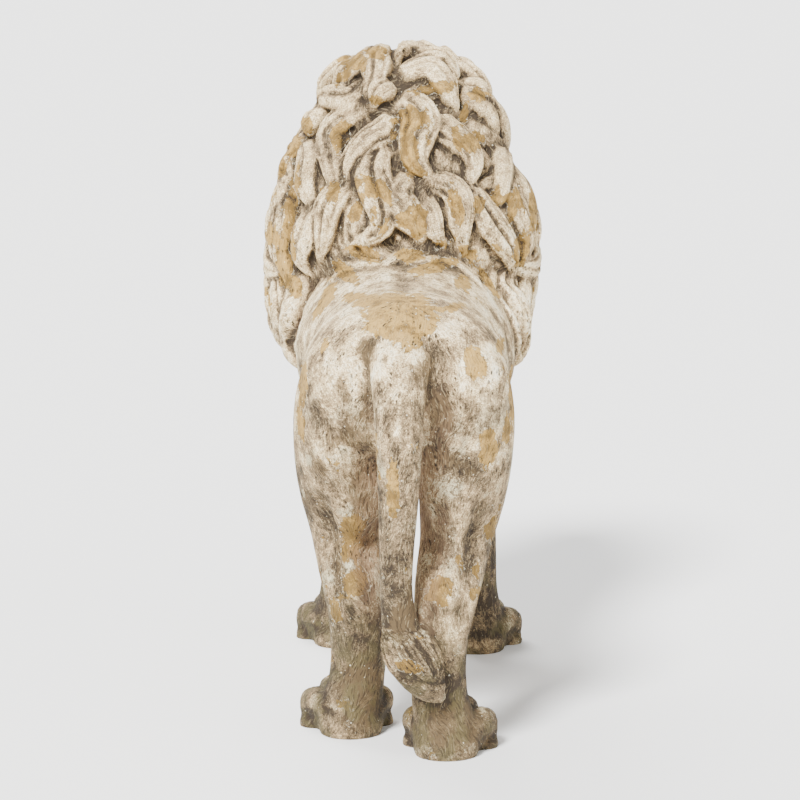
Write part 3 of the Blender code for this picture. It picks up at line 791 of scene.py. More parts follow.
def eyes(clay):
    """Eyeballs in their sockets, each between two lids that meet at its corners."""
    across, back, up = EYE_OPENING
    for side in (-1, 1):
        ellipsoid(clay, on_head(side * EYEBALL[0], *EYEBALL[1:]), EYEBALL_RADII, segments=20)
        for rise, radius in LIDS:
            lid = []
            for k in range(LID_SECTIONS):
                a = math.pi * k / (LID_SECTIONS - 1)
                bulge = math.sin(a)
                corner = side * (across - EYE_HALF_LENGTH * math.cos(a))
                place = on_head(corner, back - LID_BULGE * bulge, up + rise * bulge)
                lid.append((*place, radius * (0.5 + 0.5 * bulge)))
            limb(clay, lid, sides=10, width_axis=(0, 0, 1))


def face_strokes():
    """The tool strokes that carve the face: each a path, the tool's radius and its depth."""
    strokes = [
        ([on_head(0, -80, 40), on_head(0, -60, 68)], 9, 4),
        ([on_head(0, -126, -26), on_head(0, -122, -48)], 4.5, 4.5),
    ]
    for side in (-1, 1):
        tear = ((24, -88, 12), (27, -92, -4), (38, -88, -18))
        strokes += [
            ([on_head(side * 34, -78, 21)], 20, 9),
            ([on_head(side * x, y, z) for x, y, z in tear], 8, 4),
            ([on_head(side * x, y, z) for x, y, z in LIPS], 5.5, 7),
            ([on_head(side * 11, -126, -14)], 5.5, 5),
            ([on_head(side * 21, -118, -10), on_head(side * 24, -106, 0)], 6, 3),
            ([on_head(side * EAR[0], EAR[1] - 14, EAR[2] + up) for up in (0, 10)], 15, 9),
        ]
    return strokes


def body_strokes():
    """The strokes that part the muscles: flank, shoulder, ribs, spine and the hollows by the tail."""
    strokes = [SPINE_STROKE]
    for side in (-1, 1):
        for path, radius, depth in SIDE_STROKES:
            strokes.append(([(side * x, y, z) for x, y, z in path], radius, depth))
        for rib in range(RIBS):
            start = FIRST_RIB + RIB_SPACING * rib
            strokes.append(([(side * x, start + y, z) for x, y, z in RIB_PATH], RIB_RADIUS, RIB_DEPTH))
    return strokes


def hock_strokes():
    """The strokes that raise the tendon above each hock and hollow the leg at both sides of it."""
    strokes = []
    for leg in (FEET["left_hind"], FEET["right_hind"]):
        stations = leg_stations(*leg)[3:7]
        for across, radius, depth in HOCK_HOLLOWS:
            path = [(x + across, y + deep, z) for x, y, z, _, deep in stations]
            strokes.append((path, radius, depth))
    return strokes


def mesh_of(clay, name):
    """Turns clay into an object in the scene."""
    bmesh.ops.recalc_face_normals(clay, faces=clay.faces)
    mesh = bpy.data.meshes.new(name)
    clay.to_mesh(mesh)
    clay.free()
    obj = bpy.data.objects.new(name, mesh)
    bpy.context.scene.collection.objects.link(obj)
    return obj


def hardened(obj):
    """Makes what the object's modifiers show its own mesh."""
    shown = obj.evaluated_get(bpy.context.evaluated_depsgraph_get())
    mesh = bpy.data.meshes.new_from_object(shown)
    obj.modifiers.clear()
    obj.data = mesh
    return obj


def fused(obj, voxel, rounds):
    """Fuses the object's clay to one skin and smooths it."""
    remesh = obj.modifiers.new("Fuse", "REMESH")
    remesh.mode = "VOXEL"
    remesh.voxel_size = voxel * PART
    smooth = obj.modifiers.new("Smooth", "SMOOTH")
    smooth.factor = 0.5
    smooth.iterations = rounds
    return hardened(obj)


def thinned(obj, triangles):
    """Thins the skin out to a number of triangles, most of them left where it bends most."""
    count = sum(len(face.vertices) - 2 for face in obj.data.polygons)
    thin = obj.modifiers.new("Thin out", "DECIMATE")
    thin.ratio = min(1.0, triangles / count)
    return hardened(obj)


def skin_of(obj):
    """A search tree over the object's faces."""
    clay = bmesh.new()
    clay.from_mesh(obj.data)
    tree = BVHTree.FromBMesh(clay)
    clay.free()
    return tree


def grain_of(obj):
    """The places and normals of the skin's points."""
    count = len(obj.data.vertices)
    places = np.empty(count * 3, np.float32)
    normals = np.empty(count * 3, np.float32)
    obj.data.vertices.foreach_get("co", places)
    obj.data.vertices.foreach_get("normal", normals)
    return places.reshape(-1, 3), normals.reshape(-1, 3)


def press(obj, strokes):
    """Draws a round tool over the skin along each stroke: a depth above zero cuts in, one below builds up."""
    skin = skin_of(obj)
    places, normals = grain_of(obj)
    for path, radius, depth in strokes:
        points = [np.array(skin.find_nearest(scaled(point))[0]) for point in path]
        near = np.full(len(places), np.inf)
        for start, end in zip(points, points[1:] or points):
            line = end - start
            share = np.clip((places - start) @ line / max(line @ line, 1e-12), 0, 1)
            near = np.minimum(near, np.linalg.norm(places - start - share[:, None] * line, axis=1))
        touch = np.clip(1 - (near / (radius * PART)) ** 2, 0, 1) ** 2
        places = places - normals * (touch * depth * PART)[:, None].astype(np.float32)
    obj.data.vertices.foreach_set("co", places.ravel())
    obj.data.update()


def lock_breadth(t):
    """A lock's breadth along its length: a narrow root, a full body, and a tip drawn out to a point."""
    return math.sin(math.pi * (0.08 + 0.92 * t) ** 0.75) ** 0.8 if t < 1 else 0.0


def lock_height(t):
    """How far a lock's ridge stands off along its length: low at the root, high until near the tip."""
    return 0.25 + 0.75 * math.sin(0.5 * math.pi * min(1.0, t / 0.6)) - 0.45 * max(0.0, t - 0.75) / 0.25


def lay_lock(clay, points, normals, width, lift=LOCK_LIFT, thickness=LOCK_THICKNESS):
    """A lock of hair through points on the skin, a ribbed ridge rooted in it. Gives its partings as lines."""
    last = len(points) - 1
    rings = []
    for i, (point, normal) in enumerate(zip(points, normals)):
        t = i / last
        along = (points[min(i + 1, last)] - points[max(i - 1, 0)]).normalized()
        across = along.cross(normal).normalized()
        out = across.cross(along)
        half = (0.5 * width * lock_breadth(t) + 1.2) * PART
        shoulder = lift * lock_height(t) * PART
        crown = 2 * thickness * half
        ring = []
        for k in range(LOCK_SIDES):
            a = 2 * math.pi * k / LOCK_SIDES
            if math.sin(a) >= 0:
                rib = 1 - STRAND_DEPTH * (0.5 + 0.5 * math.cos(math.pi * LOCK_STRANDS * math.cos(a)))
                up = shoulder + crown * math.sin(a) ** 0.8 * rib
            else:
                up = shoulder + (shoulder + 4 * PART) * max(-1.0, 2.5 * math.sin(a))
            ring.append(point + out * up + across * half * math.cos(a))
        rings.append(ring)
    loft(clay, rings)
    return [[ring[side] for ring in rings[1:-2]] for side in PARTING_SIDES]


def walked_lock(clay, skin, root, heading, length, width, wave, curl, *make):
    """A lock that sets off along its heading, swings by wave and turns in by curl, both in radians."""
    point, normal, _, _ = skin.find_nearest(root)
    direction = Vector(heading)
    points, normals = [point], [normal]
    for i in range(LOCK_STEPS):
        t = i / LOCK_STEPS
        direction = (direction - normal * direction.dot(normal)).normalized()
        turn = wave * math.cos(1.6 * math.pi * t) + curl * t * t
        forward = Matrix.Rotation(turn, 3, normal) @ direction
        point, normal, _, _ = skin.find_nearest(point + forward * length * PART / LOCK_STEPS)
        points.append(point)
        normals.append(normal)
    return lay_lock(clay, points, normals, width, *make)


def view_up():
    """The direction that is up in the view."""
    return Vector((0, -EYE_FALL, 1)).normalized()


def looked_at(across, down):
    """The direction from the eye towards a place in the view."""
    ahead = Vector((0, -1, -EYE_FALL)).normalized()
    right = Vector((-1, 0, 0))
    return ahead * EYE_REACH + right * (across - VIEW_MIDDLE[0]) + view_up() * (VIEW_MIDDLE[1] - down)


def behind(skin, across, down):
    """The mane's skin at a place in the view; where none shows there, the nearest skin at its side."""
    eye = scaled(EYE)
    gaze = looked_at(across, down)
    place, normal, _, _ = skin.ray_cast(eye, gaze)
    if place is None or place.z < MANE_HANG * PART or not MANE_SIDE * PART < place.y < MANE_BACK * PART:
        place, normal, _, _ = skin.find_nearest(eye + gaze * ((MANE_SIDE * PART - eye.y) / gaze.y))
    return place, normal


def drawn_lock(clay, skin, row):
    """A lock laid between two ends in the view."""
    across0, down0, across1, down1, width, bow, swing = row
    run, fall = across1 - across0, down1 - down0
    length = math.hypot(run, fall)
    points, normals = [], []
    for i in range(LOCK_STEPS + 1):
        t = i / LOCK_STEPS
        aside = bow * math.sin(math.pi * t) + swing * math.sin(2 * math.pi * t)
        across = across0 + run * t + fall / length * aside
        down = down0 + fall * t - run / length * aside
        place, normal = behind(skin, across, down)
        points.append(place)
        normals.append(normal)
    return lay_lock(clay, points, normals, width * (EYE[1] - MANE_CENTRE[1]) / EYE_REACH)


def ring_place(skin, away, around):
    """Where a ray from the middle of the mane leaves it: away from the face's axis, and around that axis."""
    centre = scaled(MANE_CENTRE)
    axis = (scaled(FACE_CENTRE) - centre).normalized()
    side = Vector((1, 0, 0))
    up = side.cross(axis)
    a, b = math.radians(away), math.radians(around)
    spoke = side * math.sin(b) + up * math.cos(b)
    place, normal, _, _ = skin.ray_cast(centre, axis * math.cos(a) + spoke * math.sin(a))
    return place, normal, spoke * math.cos(a) - axis * math.sin(a)


def mane(clay, skin):
    """Low locks all over, upper ones at face, chest and shoulders, drawn ones behind. Gives the partings."""
    chance = random.Random(11)
    partings = []
    ears = [on_head(side * EAR[0], *EAR[1:]) for side in (-1, 1)]
    for row, (away, count, length, width) in enumerate(MANE_RINGS):
        for k in range(2 * count):
            upper = k % 2 == 0
            around = 180 * (k + row % 2) / count + chance.uniform(-RING_STRAY, RING_STRAY)
            place, normal, onward = ring_place(skin, away + chance.uniform(-RING_STRAY, RING_STRAY), around)
            swing = (1 if row % 2 else -1) * (1 if place.x > 0 else -1)
            if chance.random() < CONTRARY_LOCKS:
                swing = -swing
            size = chance.uniform(*LOCK_SIZES)
            wave = swing * chance.uniform(*LOCK_SWINGS)
            curl = -swing * chance.uniform(*LOCK_CURLS)
            seen_from_behind = normal.y > 0.12 and place.z > SIDE_HEM * PART
            hem = CHEST_HEM if normal.y < -0.5 else SIDE_HEM
            too_low = place.z < (hem + 0.8 * length * size) * PART
            over_ear = min((place - scaled(ear)).length for ear in ears) < EAR_CLEARANCE * PART
            if too_low or over_ear or (upper and seen_from_behind):
                continue
            heading = onward * 0.7 + Vector((0, 0, -0.8))
            make = (LOCK_LIFT, LOCK_THICKNESS) if upper else (UNDER_LIFT, UNDER_THICKNESS)
            shape = (length * size, width * size, wave, curl)
            partings += walked_lock(clay, skin, place, heading, *shape, *make)
    for side in (-1, 1):
        for back, height, length, swing, curl in SHOULDER_LOCKS:
            root = scaled((side * SHOULDER_REACH, back, height))
            shape = (length, SHOULDER_WIDTH, side * swing, side * curl)
            partings += walked_lock(clay, skin, root, (0, 0.25, -1), *shape)
    for row in BACK_LOCKS:
        partings += drawn_lock(clay, skin, row)
    return partings


def tuft(clay, skin):
    """The tail's end: strands that sweep down to the right over the leg. Their partings come back."""
    partings = []
    for k, root in enumerate(TUFT_ROOTS):
        place, _, _, _ = skin.find_nearest(scaled(root))
        length = TUFT_LENGTH - TUFT_SHORTER * k
        sway = -0.3 + 0.12 * k
        partings += walked_lock(clay, skin, place, (-0.5, 0, -0.85), length, TUFT_WIDTH, sway, 0.3, TUFT_LIFT)
    return partings


def cut_soles(obj):
    """Cuts the paws flat on the ground, so that each has one level sole."""
    clay = bmesh.new()
    clay.from_mesh(obj.data)
    whole = [*clay.verts, *clay.edges, *clay.faces]
    cut = bmesh.ops.bisect_plane(clay, geom=whole, plane_co=(0, 0, 0), plane_no=(0, 0, -1), clear_outer=True)
    edges = [e for e in cut["geom_cut"] if isinstance(e, bmesh.types.BMEdge)]
    bmesh.ops.holes_fill(clay, edges=edges, sides=0)
    bmesh.ops.recalc_face_normals(clay, faces=clay.faces)
    clay.to_mesh(obj.data)
    clay.free()


def centred(obj):
    """Moves the figure's middle over the origin, and says where that middle was."""
    xs = [vertex.co.x for vertex in obj.data.vertices]
    ys = [vertex.co.y for vertex in obj.data.vertices]
    middle = Vector(((min(xs) + max(xs)) / 2, (min(ys) + max(ys)) / 2, 0))
    obj.data.transform(Matrix.Translation(-middle))
    return middle


def tree_of(places):
    """A search tree over points."""
    tree = KDTree(len(places))
    for index, place in enumerate(places):
        tree.insert(place, index)
    tree.balance()
    return tree


def coat_guides(partings):
    """Places and directions that the hair follows: the coat's, the legs', the tail's and the locks' own."""
    guides = []
    for place, direction in COAT:
        for side in (-1, 1):
            mirrored = (side * place[0] + TRUNK_LEAN, *place[1:])
            guides.append((scaled(mirrored), Vector((side * direction[0], *direction[1:])).normalized()))
    runs = [[Vector(station) for station in TAIL]]
    for leg in FEET.values():
        runs.append([Vector(station) for station in leg_stations(*leg)[3:]])
    for stations in runs:
        for start, end in zip(stations, stations[1:]):
            down = (Vector(end[:3]) - Vector(start[:3])).normalized()
            for across, deep in ((1, 0), (-1, 0), (0, 1), (0, -1)):
                radius = start[3] * PART
                guides.append((scaled(start[:3]) + radius * Vector((across, deep, 0)), down))
    for leg in FEET.values():
        x, y, z = leg_stations(*leg)[-1][:3]
        for across in (-38, 0, 38):
            forward = Vector((0.2 * across / 38, -0.9, -0.35)).normalized()
            guides.append((scaled((x + across, y - 45, 40)), forward))
    for line in partings:
        for start, end in zip(line, line[1:]):
            if (end - start).length > 0:
                guides.append((start, (end - start).normalized()))
    return guides


class Lie:
    """Which way the hair lies at any place, from the guides near it."""

    def __init__(self, guides, near=6):
        self.directions = [direction for _, direction in guides]
        self.tree = tree_of([place for place, _ in guides])
        self.near = near

    def at(self, place, normal):
        total = Vector((0, 0, 0))
        for _, index, distance in self.tree.find_n(place, self.near):
            total += self.directions[index] / (distance * distance + (6 * PART) ** 2)
        total -= normal * total.dot(normal)
        return total.normalized() if total.length > 0 else normal.orthogonal().normalized()


def carve(obj, cuts):
    """Cuts lines into the skin with a small round tool: each a row of places, its radius and its depth."""
    places, normals = grain_of(obj)
    tree = tree_of(places)
    depths = [0.0] * len(places)
    for line, radius, depth in cuts:
        for start, end in zip(line, line[1:]):
            pieces = max(1, math.ceil((end - start).length / (0.6 * radius * PART)))
            for k in range(pieces):
                for _, index, distance in tree.find_range(start.lerp(end, k / pieces), radius * PART):
                    cut = depth * PART * (1 - (distance / (radius * PART)) ** 2) ** 2
                    if abs(cut) > abs(depths[index]):
                        depths[index] = cut
    moved = places - normals * np.array(depths, np.float32)[:, None]
    obj.data.vertices.foreach_set("co", moved.ravel())
    obj.data.update()


def parting_cuts(partings):
    """The cuts along the locks, which thin out towards their ends."""
    chance = random.Random(23)
    cuts = []
    for line in partings:
        if chance.random() < MISSING_PARTINGS:
            continue
        deep = 2.0 if chance.random() < DEEP_PARTINGS else 1.0
        cuts.append((line, PARTING_RADIUS * chance.uniform(0.8, 1.0) * deep ** 0.6, PARTING_DEPTH * deep))
    return cuts


def hair_cuts(skin, lie, places, normals, mane_tree):
    """Short hairs of the coat, each drawn a little off the way that the hair lies."""
    chance = random.Random(29)
    cuts = []
    while len(cuts) < COAT_HAIRS:
        index = chance.randrange(len(places))
        place, normal = Vector(places[index]), Vector(normals[index])
        in_mane = mane_tree.find(place)[2] < 11 * PART
        if place.z < 4 * PART or in_mane:
            continue
        length = chance.uniform(*HAIR_LENGTH) * PART
        sway = chance.gauss(0, HAIR_SWAY)
        bend = chance.uniform(-0.12, 0.12)
        line = [place]
        for step in range(HAIR_STEPS):
            heading = Matrix.Rotation(sway + bend * step, 3, normal) @ lie.at(place, normal)
            place, normal, _, _ = skin.find_nearest(place + heading * length / HAIR_STEPS)
            line.append(place)
        cuts.append((line, HAIR_RADIUS * chance.uniform(0.8, 1.2), chance.uniform(*HAIR_DEPTH)))
    return cuts


def tuft_cuts(partings):
    """The grooves between the tuft's hairs: every other parting of each strand, cut deep."""
    chosen = [line for k, line in enumerate(partings) if k % len(PARTING_SIDES) % 2 == 0]
    return [(line, TUFT_CUT_RADIUS, TUFT_CUT_DEPTH) for line in chosen]


def face_cuts():
    """The fine strokes of the face: pupils, nostrils, the line between the lips and the whiskers' pits."""
    strokes = []
    for side in (-1, 1):
        strokes += [
            ([on_head(side * 33.5, -84, 18)], PUPIL_RADIUS, PUPIL_DEPTH),
            ([on_head(side * 11, -128, -15), on_head(side * 16, -124, -12)], 3.8, 2.8),
            ([on_head(side * x, y, z) for x, y, z in LIPS], 3.4, 2.4),
        ]
        for row in range(3):
            for k in range(4):
                pit = on_head(side * (16 + 8 * k), -125 + 2.2 * k * k, -30 - 7 * row)
                strokes.append(([pit], WHISKER_RADIUS, WHISKER_DEPTH))
    return strokes


def neighbours_of(mesh):
    """The two ends of every edge, and how many edges meet at each point."""
    ends = np.empty(len(mesh.edges) * 2, np.int32)
    mesh.edges.foreach_get("vertices", ends)
    ends = ends.reshape(-1, 2)
    degree = np.bincount(ends.ravel(), minlength=len(mesh.vertices))
    return ends[:, 0], ends[:, 1], degree


def settled(values, neighbours, rounds):
    """Values at the skin's points, evened out with their neighbours' over and over."""
    first, second, degree = neighbours
    count = len(degree)
    values = values.astype(np.float64)
    columns = values.reshape(count, -1)
    for _ in range(rounds):
        for axis in range(columns.shape[1]):
            column = columns[:, axis]
            total = np.bincount(first, weights=column[second], minlength=count)
            total += np.bincount(second, weights=column[first], minlength=count)
            columns[:, axis] = total / degree
    return columns.reshape(values.shape)


def shelter(obj, places, normals):
    """How much of the open air round each point is taken up by the figure itself."""
    skin = skin_of(obj)
    chance = random.Random(31)
    spread = []
    for k in range(SHELTER_RAYS):
        lift = math.sqrt((k + 0.5) / SHELTER_RAYS)
        turn = k * math.pi * (3 - math.sqrt(5))
        flat = math.sqrt(1 - lift * lift)
        spread.append(Vector((flat * math.cos(turn), flat * math.sin(turn), lift)))
    covered = np.zeros(len(places))
    for index, (place, normal) in enumerate(zip(places, normals)):
        normal = Vector(normal)
        start = Vector(place) + normal * 0.8 * PART
        turned = normal.to_track_quat("Z", "Y").to_matrix() @ Matrix.Rotation(chance.uniform(0, 6.28), 3, "Z")
        hits = 0
        for ray in spread:
            if skin.ray_cast(start, turned @ ray, SHELTER_REACH * PART)[0] is not None:
                hits += 1
        covered[index] = hits / SHELTER_RAYS
    return covered


def seen_from_eye(obj, places, normals):
    """Which points the eye looks upon."""
    skin = skin_of(obj)
    eye = scaled(EYE)
    seen = np.zeros(len(places))
    for index, (place, normal) in enumerate(zip(places, normals)):
        start = Vector(place) + Vector(normal) * PART
        if (eye - start).dot(Vector(normal)) > 0:
            seen[index] = skin.ray_cast(start, eye - start)[0] is None
    return seen


def in_view(places):
    """Where points show in the view: across and down, in squares."""
    off = places - np.array(scaled(EYE))
    ahead, up = np.array(looked_at(*VIEW_MIDDLE)) / EYE_REACH, np.array(view_up())
    reach = EYE_REACH / (off @ ahead)
    return VIEW_MIDDLE[0] - off[:, 0] * reach, VIEW_MIDDLE[1] - (off @ up) * reach


def drawn_patches(rows, places, seen):
    """How far inside a drawn patch each point lies: up to 1 at its middle, 0 at its edge, below 0 outside."""
    across, down = in_view(places)
    drawn = np.full(len(places), -3.0)
    for middle_across, middle_down, half_width, half_height, lean in rows:
        turn = math.radians(lean)
        aside, below = across - middle_across, down - middle_down
        along_width = aside * math.cos(turn) + below * math.sin(turn)
        along_height = below * math.cos(turn) - aside * math.sin(turn)
        drawn = np.maximum(drawn, 1 - np.hypot(along_width / half_width, along_height / half_height))
    return np.where(seen > 0.5, drawn, -3.0)


def worn(places, seen):
    """How far inside a worn patch each point lies, drawn or come by chance."""
    chance = np.array([noise.fractal(Vector(place) / (CHANCE_PATCH * PART), 0.8, 2.0, 4) for place in places])
    rare = RARE_ELSEWHERE + (RARE_AMONG_DRAWN - RARE_ELSEWHERE) * seen
    return np.clip(np.maximum(drawn_patches(WORN_PATCHES, places, seen), 1.6 * chance - rare), -1, 1)


def write_mask(obj, name, values, kind="FLOAT"):
    """Keeps a mask on the skin for the paint to read."""
    attribute = obj.data.attributes.new(name, kind, "POINT")
    attribute.data.foreach_set("value" if kind == "FLOAT" else "vector", values.astype(np.float32).ravel())


def measure_skin(obj, lie):
    """Writes the masks that the paint reads."""
    places, normals = grain_of(obj)
    neighbours = neighbours_of(obj.data)
    for name, rounds, depth, ground in DEPTH_MASKS:
        dip = ((settled(places, neighbours, rounds) - places) * normals).sum(axis=1) / (depth * PART)
        if ground:
            dip -= settled(dip, neighbours, ground)
        write_mask(obj, name, settled(dip, neighbours, 1))
    write_mask(obj, "shelter", settled(shelter(obj, places, normals), neighbours, 3))
    seen = settled(seen_from_eye(obj, places, normals), neighbours, 3)
    write_mask(obj, "worn", settled(worn(places, seen), neighbours, 1))
    soiled_and_shadowed = np.clip(drawn_patches(SOILED_AND_SHADOWED_PATCHES, places, seen), -1, 1)
    write_mask(obj, "soiled_and_shadowed", settled(soiled_and_shadowed, neighbours, 2))
    flow = np.array([lie.at(Vector(place), Vector(normal)) for place, normal in zip(places, normals)])
    flow = settled(flow, neighbours, 4)
    flow -= normals * (flow * normals).sum(axis=1)[:, None]
    flow /= np.maximum(np.linalg.norm(flow, axis=1), 1e-9)[:, None]
    write_mask(obj, "lie", flow, "FLOAT_VECTOR")
    write_mask(obj, "across", np.cross(flow, normals), "FLOAT_VECTOR")


def put(tree, kind, inputs=(), **settings):
    """Adds a node with its settings; an input takes a value or another node's output."""
    made = tree.nodes.new("ShaderNode" + kind)
    for name, value in settings.items():
        setattr(made, name, value)
    for name, value in dict(inputs).items():
        if isinstance(value, bpy.types.NodeSocket):
            tree.links.new(value, made.inputs[name])
        else:
            made.inputs[name].default_value = value
    return made


def worked(tree, operation, first, *others):
    """A sum worked out by nodes, from the first value on."""
    result = first
    for other in others:
        result = put(tree, "Math", {0: result, 1: other}, operation=operation).outputs[0]
    return result


def product(tree, *factors):
    return worked(tree, "MULTIPLY", *factors)


def added(tree, *terms):
    return worked(tree, "ADD", *terms)


def step(tree, value, low, high):
    """Rises smoothly from 0 at the low value to 1 at the high one, or falls where low is above high."""
    inputs = {"Value": value, "From Min": low, "From Max": high}
    return put(tree, "MapRange", inputs, interpolation_type="SMOOTHSTEP").outputs[0]


def laid_over(tree, under, over, share):
    """One colour laid over another."""
    inputs = {0: share, 6: shade(under), 7: shade(over)}
    return put(tree, "Mix", inputs, data_type="RGBA").outputs[2]


def shade(colour):
    return (*colour, 1) if isinstance(colour, tuple) else colour


def cloud(tree, place, size, detail=4.0, roughness=0.55):
    """Soft random patches of about this size in parts, around a half."""
    inputs = {"Vector": place, "Scale": 1 / (size * PART), "Detail": detail, "Roughness": roughness}
    return put(tree, "TexNoise", inputs).outputs[0]


def mask(tree, name, output="Fac"):
    """One of the masks measured on the skin."""
    return put(tree, "Attribute", attribute_name=name).outputs[output]


def new_group(name, inputs, outputs):
    """An empty group of nodes with named inputs and outputs; gives the group and its two ends."""
    group = bpy.data.node_groups.new(name, "ShaderNodeTree")
    for label, kind, value in inputs:
        socket = group.interface.new_socket(label, in_out="INPUT", socket_type="NodeSocket" + kind)
        if value is not None:
            socket.default_value = value
    for label, kind in outputs:
        group.interface.new_socket(label, in_out="OUTPUT", socket_type="NodeSocket" + kind)
    return group, group.nodes.new("NodeGroupInput").outputs, group.nodes.new("NodeGroupOutput").inputs


def use(tree, group, inputs):
    """Places a group of nodes and gives its outputs."""
    return put(tree, "Group", inputs, node_tree=group).outputs


def brush_hairs():
    """Short strokes of a fine brush, scattered over the skin and lying the way the hair does."""
    group, given, result = new_group(
        "Brush hairs",
        (
            ("Place", "Vector", None),
            ("Lie", "Vector", None),
            ("Across", "Vector", None),
            ("Size", "Float", 0.01),
            ("Length", "Float", 0.5),
            ("Width", "Float", 0.08),
            ("Share", "Float", 0.5),
            ("Seed", "Float", 0.0),
        ),
        (("Mask", "Float"),),
    )
    shift = put(group, "CombineXYZ", {"X": given["Seed"], "Y": given["Seed"], "Z": given["Seed"]}).outputs[0]
    place = put(group, "VectorMath", {0: given["Place"], 1: shift}, operation="ADD").outputs[0]
    scale = worked(group, "DIVIDE", 1.0, given["Size"])
    cells = put(group, "TexVoronoi", {"Vector": place, "Scale": scale})
    off = put(group, "VectorMath", {0: place, 1: cells.outputs["Position"]}, operation="SUBTRACT").outputs[0]
    reach = 0.0
    for direction, extent in (("Lie", "Length"), ("Across", "Width")):
        run = put(group, "VectorMath", {0: off, 1: given[direction]}, operation="DOT_PRODUCT")
        share = worked(group, "DIVIDE", run.outputs["Value"], product(group, given["Size"], given[extent]))
        reach = added(group, reach, product(group, share, share))
    parts = put(group, "SeparateColor", {0: cells.outputs["Color"]}).outputs
    chosen = worked(group, "LESS_THAN", parts[0], given["Share"])
    strength = step(group, parts[1], -0.6, 0.8)
    group.links.new(product(group, step(group, reach, 1.0, 0.35), chosen, strength), result["Mask"])
    return group


def ragged_edge():
    """A patch with a torn edge: from how far inside it a place lies, its mask and the rim along its edge."""
    group, given, result = new_group(
        "Ragged edge",
        (
            ("Inside", "Float", 0.0),
            ("Place", "Vector", None),
            ("Size", "Float", 0.01),
            ("Tear", "Float", 0.5),
            ("Rim", "Float", 0.06),
        ),
        (("Mask", "Float"), ("Rim", "Float")),
    )
    scale = worked(group, "DIVIDE", 1.0, given["Size"])
    inputs = {"Vector": given["Place"], "Scale": scale, "Detail": 7.0, "Roughness": 0.68}
    torn = put(group, "TexNoise", inputs).outputs[0]
    level = added(group, given["Inside"], product(group, worked(group, "SUBTRACT", torn, 0.5), given["Tear"]))
    group.links.new(step(group, level, -0.02, 0.05), result["Mask"])
    off = worked(group, "ABSOLUTE", level, 0.0)
    group.links.new(step(group, off, given["Rim"], 0.0), result["Rim"])
    return group


def flecks():
    """Small round flecks of uneven size."""
    group, given, result = new_group(
        "Flecks",
        (
            ("Place", "Vector", None),
            ("Size", "Float", 0.005),
            ("Share", "Float", 0.3),
            ("Radius", "Float", 0.3),
        ),
        (("Mask", "Float"),),
    )
    scale = worked(group, "DIVIDE", 1.0, given["Size"])
    cells = put(group, "TexVoronoi", {"Vector": given["Place"], "Scale": scale})
    parts = put(group, "SeparateColor", {0: cells.outputs["Color"]}).outputs
    radius = worked(group, "MULTIPLY", given["Radius"], worked(group, "ADD", 0.4, parts[1]))
    inner = worked(group, "MULTIPLY", radius, 0.6)
    dot = step(group, cells.outputs["Distance"], radius, inner)
    group.links.new(product(group, dot, worked(group, "LESS_THAN", parts[0], given["Share"])), result["Mask"])
    return group


def ramp(tree, value, stops):
    """A colour that goes from stop to stop as the value does: each stop a place from 0 to 1 and a colour."""
    node = tree.nodes.new("ShaderNodeValToRGB")
    while len(node.color_ramp.elements) < len(stops):
        node.color_ramp.elements.new(0.5)
    for element, (place, colour) in zip(node.color_ramp.elements, stops):
        element.position = place
        element.color = (*colour, 1)
    tree.links.new(value, node.inputs[0])
    return node.outputs[0]


def held(tree, value, low, high):
    """The value, held between two limits."""
    return worked(tree, "MINIMUM", worked(tree, "MAXIMUM", value, low), high)


def leaning(tree, direction, sideways, amount):
    """The direction, turned by an amount towards another that is square to it."""
    turned = put(tree, "VectorMath", {0: sideways, "Scale": amount}, operation="SCALE").outputs[0]
    total = put(tree, "VectorMath", {0: direction, 1: turned}, operation="ADD").outputs[0]
    return put(tree, "VectorMath", {0: total}, operation="NORMALIZE").outputs[0]


